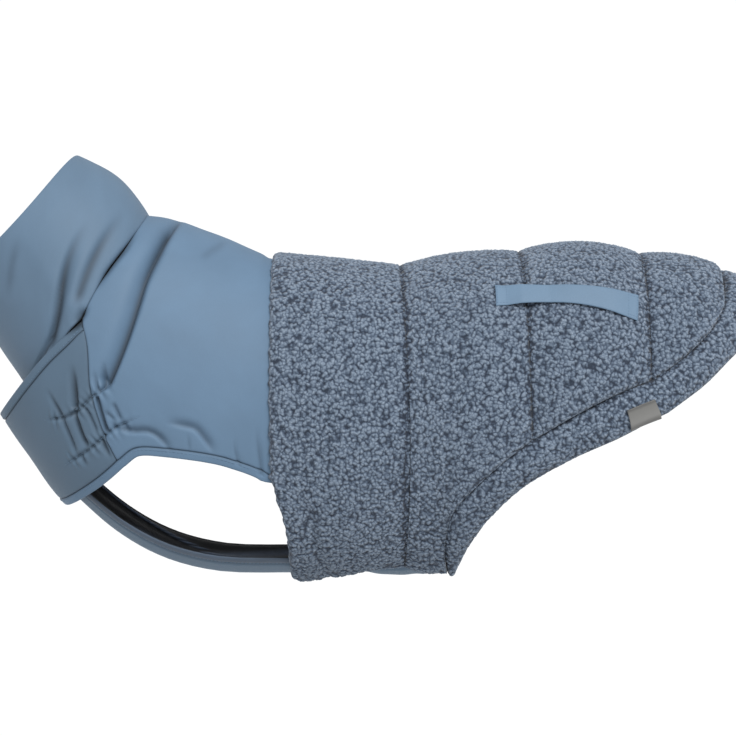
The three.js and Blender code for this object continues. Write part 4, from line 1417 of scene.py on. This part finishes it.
# %% Stitched boxes at the tape's ends
tape_box = []
for start, stop in ((0.012, 0.075), (0.925, 0.988)):
    corners = [(start, 0.12), (stop, 0.12), (stop, 0.88), (start, 0.88), (start, 0.12)]
    for (u0, v0), (u1, v1) in zip(corners, corners[1:]):
        u_run = np.linspace(u0, u1, 12)
        v_run = np.linspace(v0, v1, 12)[:, None]
        row = seam(tape_low)(u_run) * (1 - v_run) + seam(tape_top)(u_run) * v_run
        row_points = tube(row)
        rise = tape_rise(row_points, 110 * np.minimum(u_run, 1 - u_run)) + TAPE
        tape_box.append(row_points + normals(tube, row) * rise[:, None])
stitch("tape_stitches", "tape_band", tape_box, pitch=0.0022, long=0.0016, thread=0.00042)

# %% [markdown]
# ## Floor, light and camera
# The photo is a studio shot on white: broad soft light from above and in front, almost no shadow. The light
# is a sun as wide as a large softbox, which reaches the floor everywhere, so that floor and sky both come
# out white and no horizon shows. The sky looks white and lights the coat only as a weaker fill, and the
# floor throws no light back, so that folds and the underside keep their shade. The camera stands 1.5 m off
# the near flank and looks down by 5 degrees.

# %% Floor
FLOOR_REACH, FLOOR_HEIGHT = 40.0, -0.75
corners = [(x * FLOOR_REACH, y * FLOOR_REACH, FLOOR_HEIGHT) for x, y in ((-1, -1), (1, -1), (1, 1), (-1, 1))]
floor_mesh = bpy.data.meshes.new("studio_floor")
floor_mesh.from_pydata(corners, [], [(0, 1, 2, 3)])
floor = put_in_scene("studio_floor", floor_mesh)
pale, tree, shader = material("pale floor")
place = add(tree, "ShaderNodeTexCoord").outputs["Object"]
shade = use(tree, mottling, {"Place": place, "Size": 1.5, "Grain": 0.4})
paint(tree, shader, shade["Patches"], [(0.3, (0.98, 0.98, 0.98)), (0.7, (1.0, 1.0, 1.0))])
shader.inputs["Roughness"].default_value = 0.9
shader.inputs["Emission Color"].default_value = (1, 1, 1, 1)
shader.inputs["Emission Strength"].default_value = 0.08
floor_mesh.materials.append(pale)
floor.visible_diffuse = False

print("floor height:", FLOOR_HEIGHT)

# %% Sky, light and camera
FILL, WHITE_SKY = 0.54, 1.05  # the sky's strength as light, and as the camera sees it
scene = bpy.context.scene
world = bpy.data.worlds.new("studio")
world.use_nodes = True
sky = world.node_tree.nodes["Background"]
sky.inputs["Color"].default_value = (0.97, 0.985, 1.0, 1)
seen = add(world.node_tree, "ShaderNodeLightPath").outputs["Is Camera Ray"]
strength = add(world.node_tree, "ShaderNodeMapRange", {0: seen, 3: FILL, 4: WHITE_SKY})
world.node_tree.links.new(strength.outputs[0], sky.inputs["Strength"])
scene.world = world
scene.view_settings.view_transform = "Standard"


def look_at(thing, aim):
    """Turns a lamp or camera towards a point."""
    thing.rotation_euler = (Vector(aim) - thing.location).to_track_quat("-Z", "Y").to_euler()


lamp = bpy.data.lights.new("softbox over the near flank", "SUN")
lamp.energy, lamp.angle = 2.1, np.radians(30)
softbox = put_in_scene("softbox over the near flank", lamp)
softbox.location = (0.6, -1.35, 1.25)
look_at(softbox, (0.05, 0.0, -0.1))

AIM, DISTANCE, ELEVATION = np.array([0.0784, 0.0, -0.0858]), 1.5, np.radians(5)
lens = bpy.data.cameras.new("studio camera")
lens.sensor_width, lens.lens = 36.0, 91.7
camera = put_in_scene("studio camera", lens)
camera.location = AIM + DISTANCE * np.array([0, -np.cos(ELEVATION), np.sin(ELEVATION)])
look_at(camera, AIM)
scene.camera = camera
print("camera at", [round(x, 3) for x in camera.location])
